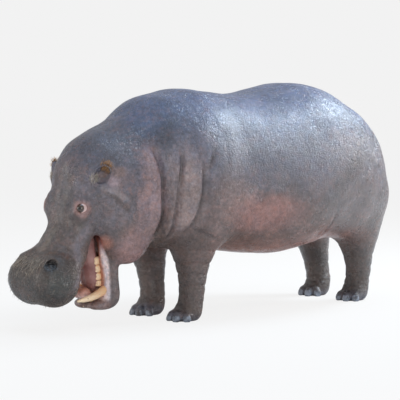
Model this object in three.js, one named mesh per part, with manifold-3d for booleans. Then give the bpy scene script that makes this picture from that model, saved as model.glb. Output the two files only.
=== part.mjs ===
// A life-size standing hippopotamus with its mouth open, as separate closed solids.
// Millimetres, +Z up. The head points along -X, so the animal's left side faces -Y.
// The origin is on the floor, under the middle of the animal's overall box.

import * as THREE from 'three';
import { mergeVertices } from 'three/addons/utils/BufferGeometryUtils.js';
import { ParametricGeometry } from 'three/addons/geometries/ParametricGeometry.js';
import Module from 'manifold-3d';

const wasm = await Module();
wasm.setup();

// ---- Driving dimensions -------------------------------------------------------------------

const GAP = 0.5; // clearance left round every piece that another one meets
const BOX_MIDDLE = -118.5; // where the middle of the overall length lies, from the trunk's zero
const STANCE = { fore: -435, hind: 1145, apart: 190 }; // foot centres along X, and out from Y = 0
const ANKLE = 150; // height at which a foot is parted from its leg
const CUTS = { shoulders: [-560, 0, 950], nape: [-770, 0, 850] }; // where the neck is parted off
const CUT_LEAN = 8; // degrees that those cuts lean forward at the top
const NECK_SLOPE = 20; // degrees below level
const HEAD_SLOPE = 56;
const JAW_SLOPE = 93;

const EYE = { along: 430, out: 161, up: 118, radius: 44 };
const TUSK = { along: 352, out: 104, up: -50, curl: 51, spread: 22, length: 250, root: 26, tip: 7 };
const EAR = { base: [299, 212, 132], tip: [151, 278, 172], leaf: [76, 58, 32], hollow: [62, 44, 36], lift: 25 };
const CHEEK_TEETH = { start: 148, lengths: [54, 52, 50, 44], out: 97, up: -10, fall: 4, wide: 20, high: 46 };
const FRONT_TEETH = [{ out: 24, length: 44, radius: 14 }, { out: 60, length: 38, radius: 11 }];
const NAILS = { count: 4, spread: 64, ahead: 7, height: 46, width: 50, thickness: 24 };

const COLOURS = {
  hide: '#6d6769',
  flank: '#7a6c69',
  face: '#66605f',
  leg: '#57504d',
  foot: '#4a4746',
  ear: '#7d6560',
  mouth: '#8a5b55',
  eye: '#1d1512',
  ivory: '#cdb489',
  nail: '#59606a',
};

// ---- Places and profiles ------------------------------------------------------------------

/** A place in the body with its own directions: forward, out along +Y, and up. */
class Place {
  constructor(origin, forward, up) {
    this.origin = new THREE.Vector3(...origin);
    this.forward = new THREE.Vector3(...forward);
    this.up = new THREE.Vector3(...up);
    this.out = new THREE.Vector3(0, 1, 0);
  }

  point(along, out, up) {
    return this.origin
      .clone()
      .addScaledVector(this.forward, along)
      .addScaledVector(this.out, out)
      .addScaledVector(this.up, up);
  }
}

/** A place whose forward direction looks ahead, along -X, and down by an angle in degrees. */
function sloping(origin, degrees) {
  const angle = THREE.MathUtils.degToRad(degrees);
  const [c, s] = [Math.cos(angle), Math.sin(angle)];
  return new Place(origin, [-c, 0, -s], [-s, 0, c]);
}

/** A place at the floor under a leg, whose forward direction is down and whose up is ahead. */
const under = (x) => new Place([x, 0, 0], [0, 0, -1], [-1, 0, 0]);

const LEVEL = new Place([0, 0, 0], [1, 0, 0], [0, 0, 1]);
const NECK = sloping([-450, 0, 1020], NECK_SLOPE);
const HEAD = sloping([-930, 0, 1060], HEAD_SLOPE);
const JAW = sloping([-1100, 0, 600], JAW_SLOPE);

// Each profile lists sections across a form: [where it stands along the form, the height of its
// top, the height of its bottom, half its width, and how far out its middle is].

const TRUNK_FORM = {
  place: LEVEL,
  square: 2.25,
  swell: 0.44,
  caps: [110, 80],
  sections: [
    [-760, 1377, 510, 398],
    [-600, 1464, 484, 500],
    [-400, 1505, 460, 545],
    [-200, 1490, 450, 544],
    [0, 1469, 410, 573],
    [200, 1474, 385, 598],
    [400, 1510, 376, 607],
    [600, 1540, 405, 600],
    [800, 1512, 443, 583],
    [1000, 1400, 465, 549],
    [1120, 1275, 520, 498],
    [1220, 1124, 600, 415],
    [1290, 970, 720, 320],
  ],
};

const NECK_FORM = {
  place: NECK,
  square: 2.2,
  caps: [160, 200],
  sections: [
    [-100, 465, -520, 500],
    [100, 461, -530, 500],
    [300, 420, -478, 432],
    [500, 412, -364, 342],
    [650, 366, -330, 305],
    [760, 265, -270, 265],
  ],
};

const HEAD_FORM = {
  place: HEAD,
  square: 2.3,
  caps: [200, 160],
  sections: [
    [-100, 228, -200, 200],
    [50, 258, -240, 252],
    [200, 272, -245, 264],
    [340, 214, -175, 238],
    [460, 155, -100, 196],
    [580, 120, -85, 170],
    [700, 125, -95, 185],
    [820, 148, -112, 240],
    [930, 149, -122, 255],
    [1030, 110, -100, 235],
  ],
};

const JAW_FORM = {
  place: JAW,
  square: 2.4,
  caps: [150, 80],
  sections: [
    [-150, 50, -260, 210],
    [0, 50, -210, 205],
    [140, 15, -150, 190],
    [280, -12, -125, 185],
    [400, -8, -130, 190],
    [500, 15, -100, 180],
  ],
};

const TONGUE_FORM = {
  place: JAW,
  square: 2.0,
  caps: [90, 80],
  sections: [
    [-40, 130, -20, 90],
    [120, 105, -30, 92],
    [260, 70, -40, 88],
    [380, 45, -40, 74],
  ],
};

const FORELEG_FORM = {
  place: under(STANCE.fore),
  square: 2.2,
  caps: [250, 80],
  sections: [
    [-900, 150, -230, 140, 300],
    [-750, 165, -265, 165, 290],
    [-580, 135, -240, 155, 270],
    [-440, 130, -158, 125, 240],
    [-340, 84, -130, 100, 220],
    [-220, 54, -116, 83, 205],
    [-120, 56, -110, 84, 195],
    [-60, 86, -98, 95, STANCE.apart],
    [-20, 104, -85, 97, STANCE.apart],
    [30, 118, -55, 94, STANCE.apart],
  ],
};

const HINDLEG_FORM = {
  place: under(STANCE.hind),
  square: 2.2,
  caps: [300, 80],
  sections: [
    [-980, 270, -75, 150, 290],
    [-820, 320, -145, 180, 300],
    [-620, 265, -135, 188, 258],
    [-480, 205, -118, 156, 238],
    [-340, 115, -105, 108, 222],
    [-200, 70, -100, 85, 205],
    [-110, 72, -100, 88, STANCE.apart],
    [-60, 90, -86, 95, STANCE.apart],
    [-20, 108, -72, 97, STANCE.apart],
    [30, 123, -45, 93, STANCE.apart],
  ],
};

const TAIL_FORM = {
  place: new Place([1262, 0, 1040], [0.24, 0, -0.9708], [0.9708, 0, 0.24]),
  square: 2.0,
  caps: [60, 40],
  sections: [
    [-60, 50, -60, 66],
    [60, 44, -44, 50],
    [240, 26, -26, 36],
    [400, 13, -13, 32],
  ],
};

// Rounded masses on each side: where the middle is, and half the size along, out and up.
const MASSES = {
  jowl: { place: LEVEL, at: [-930, 170, 660], half: [200, 140, 260] },
  cheek: { place: HEAD, at: [240, 150, -120], half: [240, 150, 200] },
  brow: { place: HEAD, at: [412, 132, 112], half: [88, 62, 70] },
  lip: { place: HEAD, at: [900, 112, 16], half: [155, 142, 158] },
  nostril: { place: HEAD, at: [845, 148, 90], half: [74, 62, 57] },
  chin: { place: JAW, at: [458, 60, 16], half: [34, 77, 46] },
};

// ---- Solids -------------------------------------------------------------------------------

/** The value of one column of a profile at each place along it, smooth through every section. */
function smoothColumn(sections, column) {
  const at = sections.map((row) => row[0]);
  const value = sections.map((row) => row[column] ?? 0);
  const last = at.length - 1;
  const slope = at.map((_, i) => {
    const [a, b] = [Math.max(i - 1, 0), Math.min(i + 1, last)];
    return (value[b] - value[a]) / (at[b] - at[a]);
  });
  return (where) => {
    let i = 0;
    while (i < last - 1 && where > at[i + 1]) i += 1;
    const width = at[i + 1] - at[i];
    const t = (where - at[i]) / width;
    const [t2, t3] = [t * t, t * t * t];
    return (2 * t3 - 3 * t2 + 1) * value[i] + (t3 - 2 * t2 + t) * width * slope[i]
      + (3 * t2 - 2 * t3) * value[i + 1] + (t3 - t2) * width * slope[i + 1];
  };
}

/** A closed geometry as a solid, with its faces turned outwards. */
function solidOf(geometry) {
  geometry.deleteAttribute('normal');
  geometry.deleteAttribute('uv');
  const merged = mergeVertices(geometry, 0.01);
  const index = merged.index.array;
  const kept = [];
  for (let i = 0; i < index.length; i += 3) {
    const [a, b, c] = [index[i], index[i + 1], index[i + 2]];
    if (a !== b && b !== c && c !== a) kept.push(a, b, c);
  }
  const position = merged.attributes.position;
  const corner = (i) => new THREE.Vector3().fromBufferAttribute(position, i);
  let volume = 0;
  for (let i = 0; i < kept.length; i += 3) {
    volume += corner(kept[i]).dot(corner(kept[i + 1]).cross(corner(kept[i + 2])));
  }
  if (volume < 0) kept.reverse();
  const mesh = new wasm.Mesh({
    numProp: 3,
    vertProperties: new Float32Array(position.array),
    triVerts: new Uint32Array(kept),
  });
  return new wasm.Manifold(mesh);
}

/** A solid through a form's sections. side is -1 for the left and 1 for the right, 0 in the middle. */
function loft(form, { side = 0, around = 16, steps = 1, grow = 0 } = {}) {
  const { place, sections, square, caps, swell = 0.5 } = form;
  const [top, bottom, half, out] = [1, 2, 3, 4].map((column) => smoothColumn(sections, column));
  const first = sections[0][0];
  const last = sections[sections.length - 1][0];
  const stops = []; // where each ring stands, and how far the end has closed there
  const capRings = 2;
  for (let i = 0; i <= capRings; i += 1) {
    const turn = (i / (capRings + 1)) * (Math.PI / 2);
    stops.push({ at: first + caps[0] * (1 - Math.cos(turn) ** (2 / square)), close: Math.sin(turn) ** (2 / square) });
  }
  for (let i = 0; i < sections.length - 1; i += 1) {
    for (let k = 0; k < steps; k += 1) {
      const at = sections[i][0] + ((sections[i + 1][0] - sections[i][0]) * k) / steps;
      if (at >= first + caps[0] && at <= last - caps[1]) stops.push({ at, close: 1 });
    }
  }
  stops.push({ at: Math.max(last - caps[1], stops[stops.length - 1].at + 1), close: 1 });
  for (let i = capRings; i >= 0; i -= 1) {
    const turn = (i / (capRings + 1)) * (Math.PI / 2);
    stops.push({ at: last - caps[1] * (1 - Math.cos(turn) ** (2 / square)), close: Math.sin(turn) ** (2 / square) });
  }
  const signed = (value) => Math.sign(value) * Math.abs(value) ** (2 / square);
  const surface = (u, v, target) => {
    const { at, close } = stops[Math.round(v * (stops.length - 1))];
    const angle = (u % 1) * 2 * Math.PI;
    const middle = bottom(at) + swell * (top(at) - bottom(at));
    const [c, s] = [signed(Math.cos(angle)), signed(Math.sin(angle))];
    const tall = s > 0 ? top(at) - middle : middle - bottom(at);
    const reach = first + ((at - first) * (last - first + 2 * grow)) / (last - first) - grow;
    target.copy(place.point(
      reach,
      side * out(at) + c * close * (half(at) + grow),
      middle + s * close * (tall + grow),
    ));
  };
  return solidOf(new ParametricGeometry(surface, around, stops.length - 1));
}

/** A rounded mass on one side of the body. */
function mass({ place, at, half }, { side = 1, grow = 0, around = 12, rings = 8 } = {}) {
  const geometry = new THREE.SphereGeometry(1, around, rings);
  const middle = place.point(at[0], side * at[1], at[2]);
  const basis = new THREE.Matrix4().makeBasis(
    place.forward.clone().multiplyScalar(half[0] + grow),
    place.out.clone().multiplyScalar(half[1] + grow),
    place.up.clone().multiplyScalar(half[2] + grow),
  );
  geometry.rotateX(Math.PI / 2);
  geometry.applyMatrix4(basis.setPosition(middle));
  return solidOf(geometry);
}

/** A round tapering rod that curves through a few points. */
function horn(points, radiusAt, { around = 8, rings = 7, grow = 0 } = {}) {
  const path = new THREE.CatmullRomCurve3(points);
  const frames = path.computeFrenetFrames(rings, false);
  const surface = (u, v, target) => {
    const ring = Math.round(v * (rings + 2)) - 1;
    const inside = Math.min(Math.max(ring, 0), rings);
    const radius = ring < 0 || ring > rings ? 0 : radiusAt(inside / rings) + grow;
    const angle = (u % 1) * 2 * Math.PI;
    const end = ring < 0 ? -grow : ring > rings ? radiusAt(1) * 0.6 + grow : 0;
    target.copy(path.getPoint(inside / rings))
      .addScaledVector(frames.normals[inside], radius * Math.cos(angle))
      .addScaledVector(frames.binormals[inside], radius * Math.sin(angle))
      .addScaledVector(frames.tangents[inside], end);
  };
  return solidOf(new ParametricGeometry(surface, around, rings + 2));
}

const join = (...solids) => solids.reduce((all, solid) => all.add(solid));
const without = (solid, ...others) => others.reduce((rest, other) => rest.subtract(other), solid);
const both = (make) => join(make(-1), make(1));

/** The largest connected body of a solid. */
function mainBody(solid) {
  return solid.decompose().reduce((best, body) => (body.volume() > best.volume() ? body : best));
}

// ---- Head and mouth -----------------------------------------------------------------------

/** The eyeball, set deep under the brow. */
function eyeball(side, grow = 0) {
  const at = [EYE.along, EYE.out, EYE.up];
  const half = [EYE.radius, EYE.radius, EYE.radius];
  return mass({ place: HEAD, at, half }, { side, grow, around: 10, rings: 7 });
}

/** The upper head: skull, brows, cheeks, jowls, nostrils and the broad upper lip. */
function upperHead(grow = 0) {
  const facets = { jowl: [11, 7], cheek: [9, 6], brow: [8, 5], lip: [12, 7], nostril: [6, 4] };
  return Object.entries(facets).reduce(
    (all, [name, [around, rings]]) => all.add(
      both((side) => mass(MASSES[name], { side, grow, around, rings })),
    ),
    loft(HEAD_FORM, { around: 16, grow }),
  );
}

/** The hollow roof of the mouth, inside the upper lips. */
function palate() {
  return loft({
    place: HEAD,
    square: 2.2,
    caps: [120, 90],
    sections: [
      [520, -60, -240, 110],
      [700, -40, -240, 115],
      [840, -50, -260, 135],
      [960, -70, -260, 120],
    ],
  }, { around: 8 });
}

/** A leaf-shaped ear, cupped on its outer side and laid back along the head. */
function ear(side) {
  const [base, tip] = [EAR.base, EAR.tip].map(([along, out, up]) => HEAD.point(along, side * out, up));
  const length = tip.distanceTo(base);
  const forward = tip.clone().sub(base).normalize();
  const outward = new THREE.Vector3(-0.62, side * 0.78, 0.1);
  outward.addScaledVector(forward, -outward.dot(forward)).normalize();
  const across = new THREE.Vector3().crossVectors(forward, outward);
  const shell = (halves, lift) => {
    const geometry = new THREE.SphereGeometry(1, 8, 6);
    const middle = base.clone().addScaledVector(forward, length * 0.46).addScaledVector(outward, lift);
    geometry.applyMatrix4(new THREE.Matrix4().makeBasis(
      forward.clone().multiplyScalar(halves[0]),
      across.clone().multiplyScalar(halves[1]),
      outward.clone().multiplyScalar(halves[2]),
    ).setPosition(middle));
    return solidOf(geometry);
  };
  return shell(EAR.leaf, 0).subtract(shell(EAR.hollow, EAR.lift));
}

/** One curved lower canine. */
function tusk(side, grow = 0) {
  const { along, out, up, curl, spread, length, root, tip } = TUSK;
  const points = [0, 0.35, 0.7, 1].map((t) => JAW.point(
    along + curl * t * (2 - t),
    side * (out + spread * t),
    up + length * t,
  ));
  return horn(points, (t) => root + (tip - root) * t, { grow });
}

/** The cheek teeth of one side, a row that stands on the lower jaw. */
function cheekTeeth(side) {
  const { start, lengths, out, up, fall, wide, high } = CHEEK_TEETH;
  let along = start;
  return join(...lengths.map((length, i) => {
    const middle = along + length / 2;
    along += length * 0.96; // each tooth overlaps the next a little
    const half = [length / 2 + 1, wide, high - 3 * i];
    return mass({ place: JAW, at: [middle, out, up - fall * i], half }, { side, around: 6, rings: 4 });
  }));
}

/** Two pairs of peg-like incisors at the front of the lower jaw. */
function incisors(side) {
  return join(...FRONT_TEETH.map(({ out, length, radius }) => horn(
    [[425, -25], [452, 20], [470, length]].map(([along, up]) => JAW.point(along, side * out, up)),
    (t) => radius * (1 - 0.45 * t),
    { around: 5, rings: 2 },
  )));
}

// ---- Legs ---------------------------------------------------------------------------------

/** Where each nail of a foot stands: an arc round the front of the foot. */
function nailPlaces({ place, sections }, side) {
  const [, front, , half, out] = sections[sections.length - 1];
  return Array.from({ length: NAILS.count }, (_, i) => {
    const spread = (i - (NAILS.count - 1) / 2) / ((NAILS.count - 1) / 2);
    const turn = spread * THREE.MathUtils.degToRad(NAILS.spread);
    const ahead = front - half + NAILS.ahead + Math.cos(turn) * half;
    return { turn, at: place.point(-NAILS.height * 0.52, side * out + Math.sin(turn) * half, ahead) };
  });
}

/** One hoof-like nail, rounded in front and flat on the floor. */
function nail({ turn, at }, grow = 0) {
  const geometry = new THREE.SphereGeometry(1, 6, 4);
  geometry.scale(NAILS.thickness + grow, NAILS.width / 2 + grow, NAILS.height / 2 + grow);
  geometry.rotateZ(-turn);
  geometry.translate(at.x, at.y, at.z);
  return solidOf(geometry);
}

/** A toe behind each nail, which spreads the front of the foot. */
function toes(form, side, grow = 0) {
  return join(...nailPlaces(form, side).map(({ turn, at }) => {
    const geometry = new THREE.SphereGeometry(1, 6, 4);
    geometry.scale(50 + grow, 34 + grow, 42 + grow);
    geometry.rotateZ(-turn);
    geometry.translate(at.x + 34 * Math.cos(turn), at.y - 34 * Math.sin(turn), at.z + 5);
    return solidOf(geometry);
  }));
}

// ---- The animal ---------------------------------------------------------------------------

const hippopotamus = new THREE.Group();

/** Adds a solid to the animal as a named mesh. */
function add(name, solid, colour, roughness = 0.6) {
  const { vertProperties, triVerts } = mainBody(solid).getMesh();
  const geometry = new THREE.BufferGeometry();
  geometry.setAttribute('position', new THREE.BufferAttribute(vertProperties, 3));
  geometry.setIndex(new THREE.BufferAttribute(triVerts, 1));
  const material = new THREE.MeshStandardMaterial({ color: colour, roughness, metalness: 0 });
  const mesh = new THREE.Mesh(geometry, material);
  mesh.name = name;
  hippopotamus.add(mesh);
}

const SIDES = { left: -1, right: 1 };

/** The trunk and the neck as one form. */
function torso(grow = 0) {
  return join(loft(TRUNK_FORM, { around: 22, grow }), loft(NECK_FORM, { around: 20, grow }));
}

/** Everything but the limbs, ears, tail and lower jaw, as one form. */
const flesh = (grow = 0) => join(torso(grow), upperHead(grow));

const lowerJaw = (grow = 0) => join(
  loft(JAW_FORM, { around: 12, grow }),
  both((side) => mass(MASSES.chin, { side, grow, around: 8, rings: 5 })),
);

const lean = THREE.MathUtils.degToRad(CUT_LEAN);
const cutNormal = [-Math.cos(lean), 0, -Math.sin(lean)];
const cutOffset = (at) => cutNormal[0] * at[0] + cutNormal[2] * at[2];

/** What lies ahead of a cut, towards the nose. */
const ahead = (solid, at) => solid.trimByPlane(cutNormal, cutOffset(at) + GAP);

/** What lies behind a cut, towards the tail. */
const behind = (solid, at) => solid.trimByPlane(cutNormal.map((n) => -n), -cutOffset(at));

const body = without(flesh(), palate(), both((side) => eyeball(side, GAP)));

add('trunk', behind(body, CUTS.shoulders), COLOURS.flank, 0.55);
add('neck', behind(ahead(body, CUTS.shoulders), CUTS.nape), COLOURS.hide, 0.55);
add('head', ahead(body, CUTS.nape), COLOURS.face, 0.55);
add('lower_jaw', without(
  join(lowerJaw(), both(cheekTeeth), both(incisors)),
  flesh(GAP),
  both((side) => tusk(side, GAP)),
), COLOURS.face, 0.5);
add('tongue', without(
  loft(TONGUE_FORM, { around: 10 }),
  lowerJaw(GAP),
  flesh(GAP),
  both(cheekTeeth),
), COLOURS.mouth, 0.35);
add('tail', without(loft(TAIL_FORM, { around: 8 }), flesh(GAP)), COLOURS.hide, 0.6);

for (const [name, side] of Object.entries(SIDES)) {
  add(`${name}_ear`, without(ear(side), flesh(GAP)), COLOURS.ear, 0.6);
  add(`${name}_eye`, eyeball(side), COLOURS.eye, 0.1);
  add(`${name}_tusk`, tusk(side), COLOURS.ivory, 0.3);
  for (const [limb, form] of Object.entries({ fore: FORELEG_FORM, hind: HINDLEG_FORM })) {
    const whole = without(
      join(loft(form, { side, around: 10 }), toes(form, side)),
      flesh(GAP),
    ).trimByPlane([0, 0, 1], 0);
    add(`${name}_${limb}leg`, whole.trimByPlane([0, 0, 1], ANKLE + GAP), COLOURS.leg, 0.6);
    const nails = nailPlaces(form, side);
    const foot = whole.trimByPlane([0, 0, -1], -ANKLE);
    add(`${name}_${limb}foot`, without(foot, ...nails.map((place) => nail(place, GAP))), COLOURS.foot, 0.6);
    nails.forEach((place, i) => {
      add(`${name}_${limb}_nail_${i + 1}`, nail(place).trimByPlane([0, 0, 1], 0), COLOURS.nail, 0.3);
    });
  }
}

hippopotamus.position.x = -BOX_MIDDLE;

export default hippopotamus;
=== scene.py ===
"""A life-size standing hippopotamus with its mouth open, dressed over its solid frame.

Metres, +Z up. The head points along -X, so the animal's left side faces -Y. The body's shapes are
written in the animal's own frame, where X = 0 is the middle of the back, and `SHIFT` carries them
onto the frame's solids.
"""

from __future__ import annotations

import logging
import math
from dataclasses import dataclass
from enum import Enum, auto
from functools import cached_property, reduce
from typing import Callable, Iterable, Protocol, Sequence

import bmesh
import bpy
import numpy as np
from bpy.types import ID, Material, Node, NodeSocket, NodeTree, Object
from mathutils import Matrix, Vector

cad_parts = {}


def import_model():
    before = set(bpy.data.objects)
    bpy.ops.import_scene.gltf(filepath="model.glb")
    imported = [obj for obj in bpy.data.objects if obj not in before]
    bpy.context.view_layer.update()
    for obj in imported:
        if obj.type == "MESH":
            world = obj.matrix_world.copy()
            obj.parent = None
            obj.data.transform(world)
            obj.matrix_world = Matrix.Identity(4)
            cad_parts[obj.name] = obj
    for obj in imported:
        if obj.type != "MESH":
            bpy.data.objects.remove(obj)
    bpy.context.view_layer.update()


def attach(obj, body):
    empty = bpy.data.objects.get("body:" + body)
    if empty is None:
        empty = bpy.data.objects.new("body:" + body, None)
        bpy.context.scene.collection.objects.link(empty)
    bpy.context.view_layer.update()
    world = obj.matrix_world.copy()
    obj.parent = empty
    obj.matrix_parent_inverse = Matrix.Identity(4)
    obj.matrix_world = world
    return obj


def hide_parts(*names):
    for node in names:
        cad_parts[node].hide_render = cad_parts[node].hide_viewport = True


log = logging.getLogger("hippopotamus")

Array = np.ndarray
Place = tuple[float, float, float]
Colour = tuple[float, float, float]
Surface = tuple[object, object, object, float]

FAR = 9.0  # further than any surface
HASH = (73856093, 19349663, 83492791, 9737333, 1274126177)  # large odd numbers that scramble a place
UP = (0.0, 0.0, 1.0)
SHIFT = 0.1185  # how far along X the solids' frame lies from the animal's


# ---- Distances ----


def smooth_union(first: Array, second: Array, blend: float) -> Array:
    """Joins two distances with a fillet.

    Args:
        first: Distance to one form at each point.
        second: Distance to the other form at each point.
        blend: How far from the joint the fillet starts.

    Returns:
        The distance to the two forms together.
    """
    overlap = np.maximum(blend - np.abs(first - second), 0.0) / blend
    return np.minimum(first, second) - overlap * overlap * blend * 0.25


def ease(value: Array, low: float, high: float) -> Array:
    """A smooth step from 0 at low to 1 at high."""
    t = np.clip((value - low) / (high - low), 0.0, 1.0)
    return t * t * (3.0 - 2.0 * t)


def lattice_noise(points: Array, cell: float | Place, seed: int) -> Array:
    """Smooth random values that depend only on the place.

    Args:
        points: Places, one a row.
        cell: Size of the noise's features, the same each way or one for each axis.
        seed: Picks the pattern.

    Returns:
        A value from -1 to 1 for each point.
    """
    grid = points / np.asarray(cell, float)
    base = np.floor(grid).astype(np.int64)
    part = grid - base
    part = part * part * (3.0 - 2.0 * part)
    total = np.zeros(len(points))
    for corner in np.ndindex(2, 2, 2):
        node = base + np.array(corner)
        code = seed * HASH[3] ^ node[:, 0] * HASH[0] ^ node[:, 1] * HASH[1] ^ node[:, 2] * HASH[2]
        code = (code ^ (code >> 13)) * HASH[4]
        value = ((code ^ (code >> 16)) & 0xFFFF) / 32767.5 - 1.0
        weight = np.prod(np.where(np.array(corner) == 1, part, 1.0 - part), axis=1)
        total += weight * value
    return total


def row_lengths(vectors: Array) -> Array:
    """The length of each row."""
    return np.sqrt(np.einsum("ij,ij->i", vectors, vectors))


@dataclass(frozen=True)
class Axes:
    """A place with its own directions.

    Attributes:
        origin: Where the local zero is.
        forward: Unit vector of the first direction, along the form.
        up: Unit vector of the third direction.
    """

    origin: Place
    forward: Place
    up: Place

    @staticmethod
    def sloping(origin: Place, degrees: float) -> "Axes":
        """Axes whose forward direction looks along -X and down by some degrees."""
        c, s = math.cos(math.radians(degrees)), math.sin(math.radians(degrees))
        return Axes(origin, (-c, 0.0, -s), (-s, 0.0, c))

    @staticmethod
    def along(origin: Place, forward: Place, up: Place) -> "Axes":
        """Axes with a given forward direction, and up as near as it can be to the given one."""
        ahead = np.array(forward) / np.linalg.norm(forward)
        rise = np.array(up) - np.dot(up, ahead) * ahead
        return Axes(origin, tuple(ahead), tuple(rise / np.linalg.norm(rise)))

    @cached_property
    def matrix(self) -> Array:
        """The three directions, one a column: forward, out and up."""
        forward, up = np.array(self.forward), np.array(self.up)
        return np.stack([forward, np.cross(forward, up), up], axis=1)

    def local(self, points: Array) -> Array:
        """Places in these axes, for places in the animal's frame."""
        return (points - np.array(self.origin)) @ self.matrix

    def place(self, along: float, out: float, up: float) -> Place:
        """A place in the animal's frame, from one in these axes."""
        return tuple(np.array(self.origin) + self.matrix @ np.array((along, out, up)))

    def at(self, origin: Place) -> "Axes":
        """The same directions at another place in the animal's frame."""
        return Axes(origin, self.forward, self.up)

    def moved(self, along: float, out: float, up: float) -> "Axes":
        """The same directions from a place in these axes."""
        return self.at(self.place(along, out, up))


class Form(Protocol):
    """Anything that has a distance and fits in a ball."""

    def distance(self, points: Array) -> Array:
        """Distance to the form's surface, negative inside."""

    @property
    def ball(self) -> tuple[Array, float]:
        """Centre and radius of a ball round the form."""


@dataclass(frozen=True)
class Loft:
    """A form through sections that stand across its axis.

    Attributes:
        axes: Where it stands, and the way that it runs.
        sections: Rows of (place along, top, bottom, half width, middle out), smooth between rows.
        square: 2 for round sections, and more for squarer ones.
        caps: Lengths over which the first and the last end close.
        swell: How high the widest part stands in the section, from 0 to 1.
    """

    axes: Axes
    sections: tuple[tuple[float, ...], ...]
    square: float = 2.2
    caps: tuple[float, float] = (0.1, 0.1)
    swell: float = 0.5

    @cached_property
    def _table(self) -> tuple[Array, Array]:
        """The sections' sizes at many places along, smoothly between the rows."""
        rows = np.array([tuple(row) + (0.0,) * (5 - len(row)) for row in self.sections])
        at = rows[:, 0]
        fine = np.linspace(at[0], at[-1], 240)
        cell = np.clip(np.searchsorted(at, fine) - 1, 0, len(at) - 2)
        width = (at[cell + 1] - at[cell])[:, None]
        t = (fine - at[cell])[:, None] / width
        value = rows[:, 1:]
        slope = np.stack([np.gradient(value[:, k], at) for k in range(4)], axis=1)
        smooth = (
            (2 * t**3 - 3 * t**2 + 1) * value[cell]
            + (t**3 - 2 * t**2 + t) * width * slope[cell]
            + (3 * t**2 - 2 * t**3) * value[cell + 1]
            + (t**3 - t**2) * width * slope[cell + 1]
        )
        return fine, smooth

    def sizes(self, along: Array) -> tuple[Array, ...]:
        """Top, bottom, half width and middle out of the section at each place along."""
        fine, smooth = self._table
        return tuple(np.interp(along, fine, smooth[:, k]) for k in range(4))

    @cached_property
    def ball(self) -> tuple[Array, float]:
        """Centre and radius of a ball round the form."""
        fine, smooth = self._table
        corners = [
            self.axes.place(fine[i], smooth[i, 3] + side * smooth[i, 2], smooth[i, height])
            for i in range(0, len(fine), 20)
            for side in (-1, 1)
            for height in (0, 1)
        ]
        box = np.array(corners)
        middle = (box.min(0) + box.max(0)) / 2
        return middle, float(np.linalg.norm(box - middle, axis=1).max())

    def distance(self, points: Array) -> Array:
        """Distance to the form's surface, negative inside."""
        along, out, up = self.axes.local(points).T
        first, last = self.sections[0][0], self.sections[-1][0]
        top, bottom, half, shift = self.sizes(along)
        middle = bottom + self.swell * (top - bottom)
        tall = np.where(up > middle, top - middle, middle - bottom)
        n = self.square
        a = np.abs(out - shift) / half
        b = np.abs(up - middle) / tall
        c = np.maximum(0.0, (first + self.caps[0] - along) / self.caps[0])
        d = np.maximum(0.0, (along - last + self.caps[1]) / self.caps[1])
        an, bn, cn, dn = a ** (n - 1), b ** (n - 1), c ** (n - 1), d ** (n - 1)
        level = np.maximum(a * an + b * bn + c * cn + d * dn, 1e-6) ** (1 / n)
        slope = (an / half) ** 2 + (bn / tall) ** 2 + (cn / self.caps[0]) ** 2 + (dn / self.caps[1]) ** 2
        slope = np.sqrt(slope) / level ** (n - 1)
        return (level - 1.0) / np.maximum(slope, 0.8 / np.maximum(half, tall))


@dataclass(frozen=True)
class Egg:
    """An ellipsoid, with its half sizes along its axes' forward, out and up."""

    axes: Axes
    half: Place

    @property
    def ball(self) -> tuple[Array, float]:
        """Centre and radius of a ball round the form."""
        return np.array(self.axes.origin), max(self.half)

    def distance(self, points: Array) -> Array:
        """Distance to the form's surface, negative inside."""
        local = self.axes.local(points)
        half = np.array(self.half)
        near = row_lengths(local / half)
        return near * (near - 1.0) / np.maximum(row_lengths(local / half**2), 1e-6)


@dataclass(frozen=True)
class Path:
    """Straight runs between a few points, with a thickness at each end."""

    points: tuple[Place, ...]
    thickness: tuple[float, float] = (0.0, 0.0)

    @cached_property
    def ball(self) -> tuple[Array, float]:
        """Centre and radius of a ball round the path."""
        points = np.array(self.points)
        middle = (points.min(0) + points.max(0)) / 2
        return middle, float(np.linalg.norm(points - middle, axis=1).max()) + max(self.thickness)

    @cached_property
    def smooth(self) -> Array:
        """The path's points, with more put in on a smooth curve."""
        points = np.array(self.points)
        ends = np.vstack([2 * points[0] - points[1], points, 2 * points[-1] - points[-2]])
        rows = []
        for i in range(1, len(ends) - 2):
            a, b, c, d = ends[i - 1 : i + 3]
            for t in (0.0, 0.34, 0.67):
                curve = (2 * a - 5 * b + 4 * c - d) * t**2 + (3 * b - a - 3 * c + d) * t**3
                rows.append(0.5 * (2 * b + (c - a) * t + curve))
        return np.array(rows + [ends[-2]])

    def nearest(self, points: Array) -> tuple[Array, Array]:
        """The nearest place on the path, and how far along it that is, from 0 to 1."""
        nodes = self.smooth
        best = np.full(len(points), np.inf)
        place = np.zeros((len(points), 3))
        along = np.zeros(len(points))
        for i in range(len(nodes) - 1):
            run = nodes[i + 1] - nodes[i]
            t = np.clip((points - nodes[i]) @ run / (run @ run), 0.0, 1.0)
            here = nodes[i] + t[:, None] * run
            gap = row_lengths(points - here)
            closer = gap < best
            best[closer] = gap[closer]
            place[closer] = here[closer]
            along[closer] = (i + t[closer]) / (len(nodes) - 1)
        return place, along

    def distance(self, points: Array) -> Array:
        """Distance to a rod along the path, negative inside."""
        place, along = self.nearest(points)
        start, end = self.thickness
        return row_lengths(points - place) - (start + along * (end - start))


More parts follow.
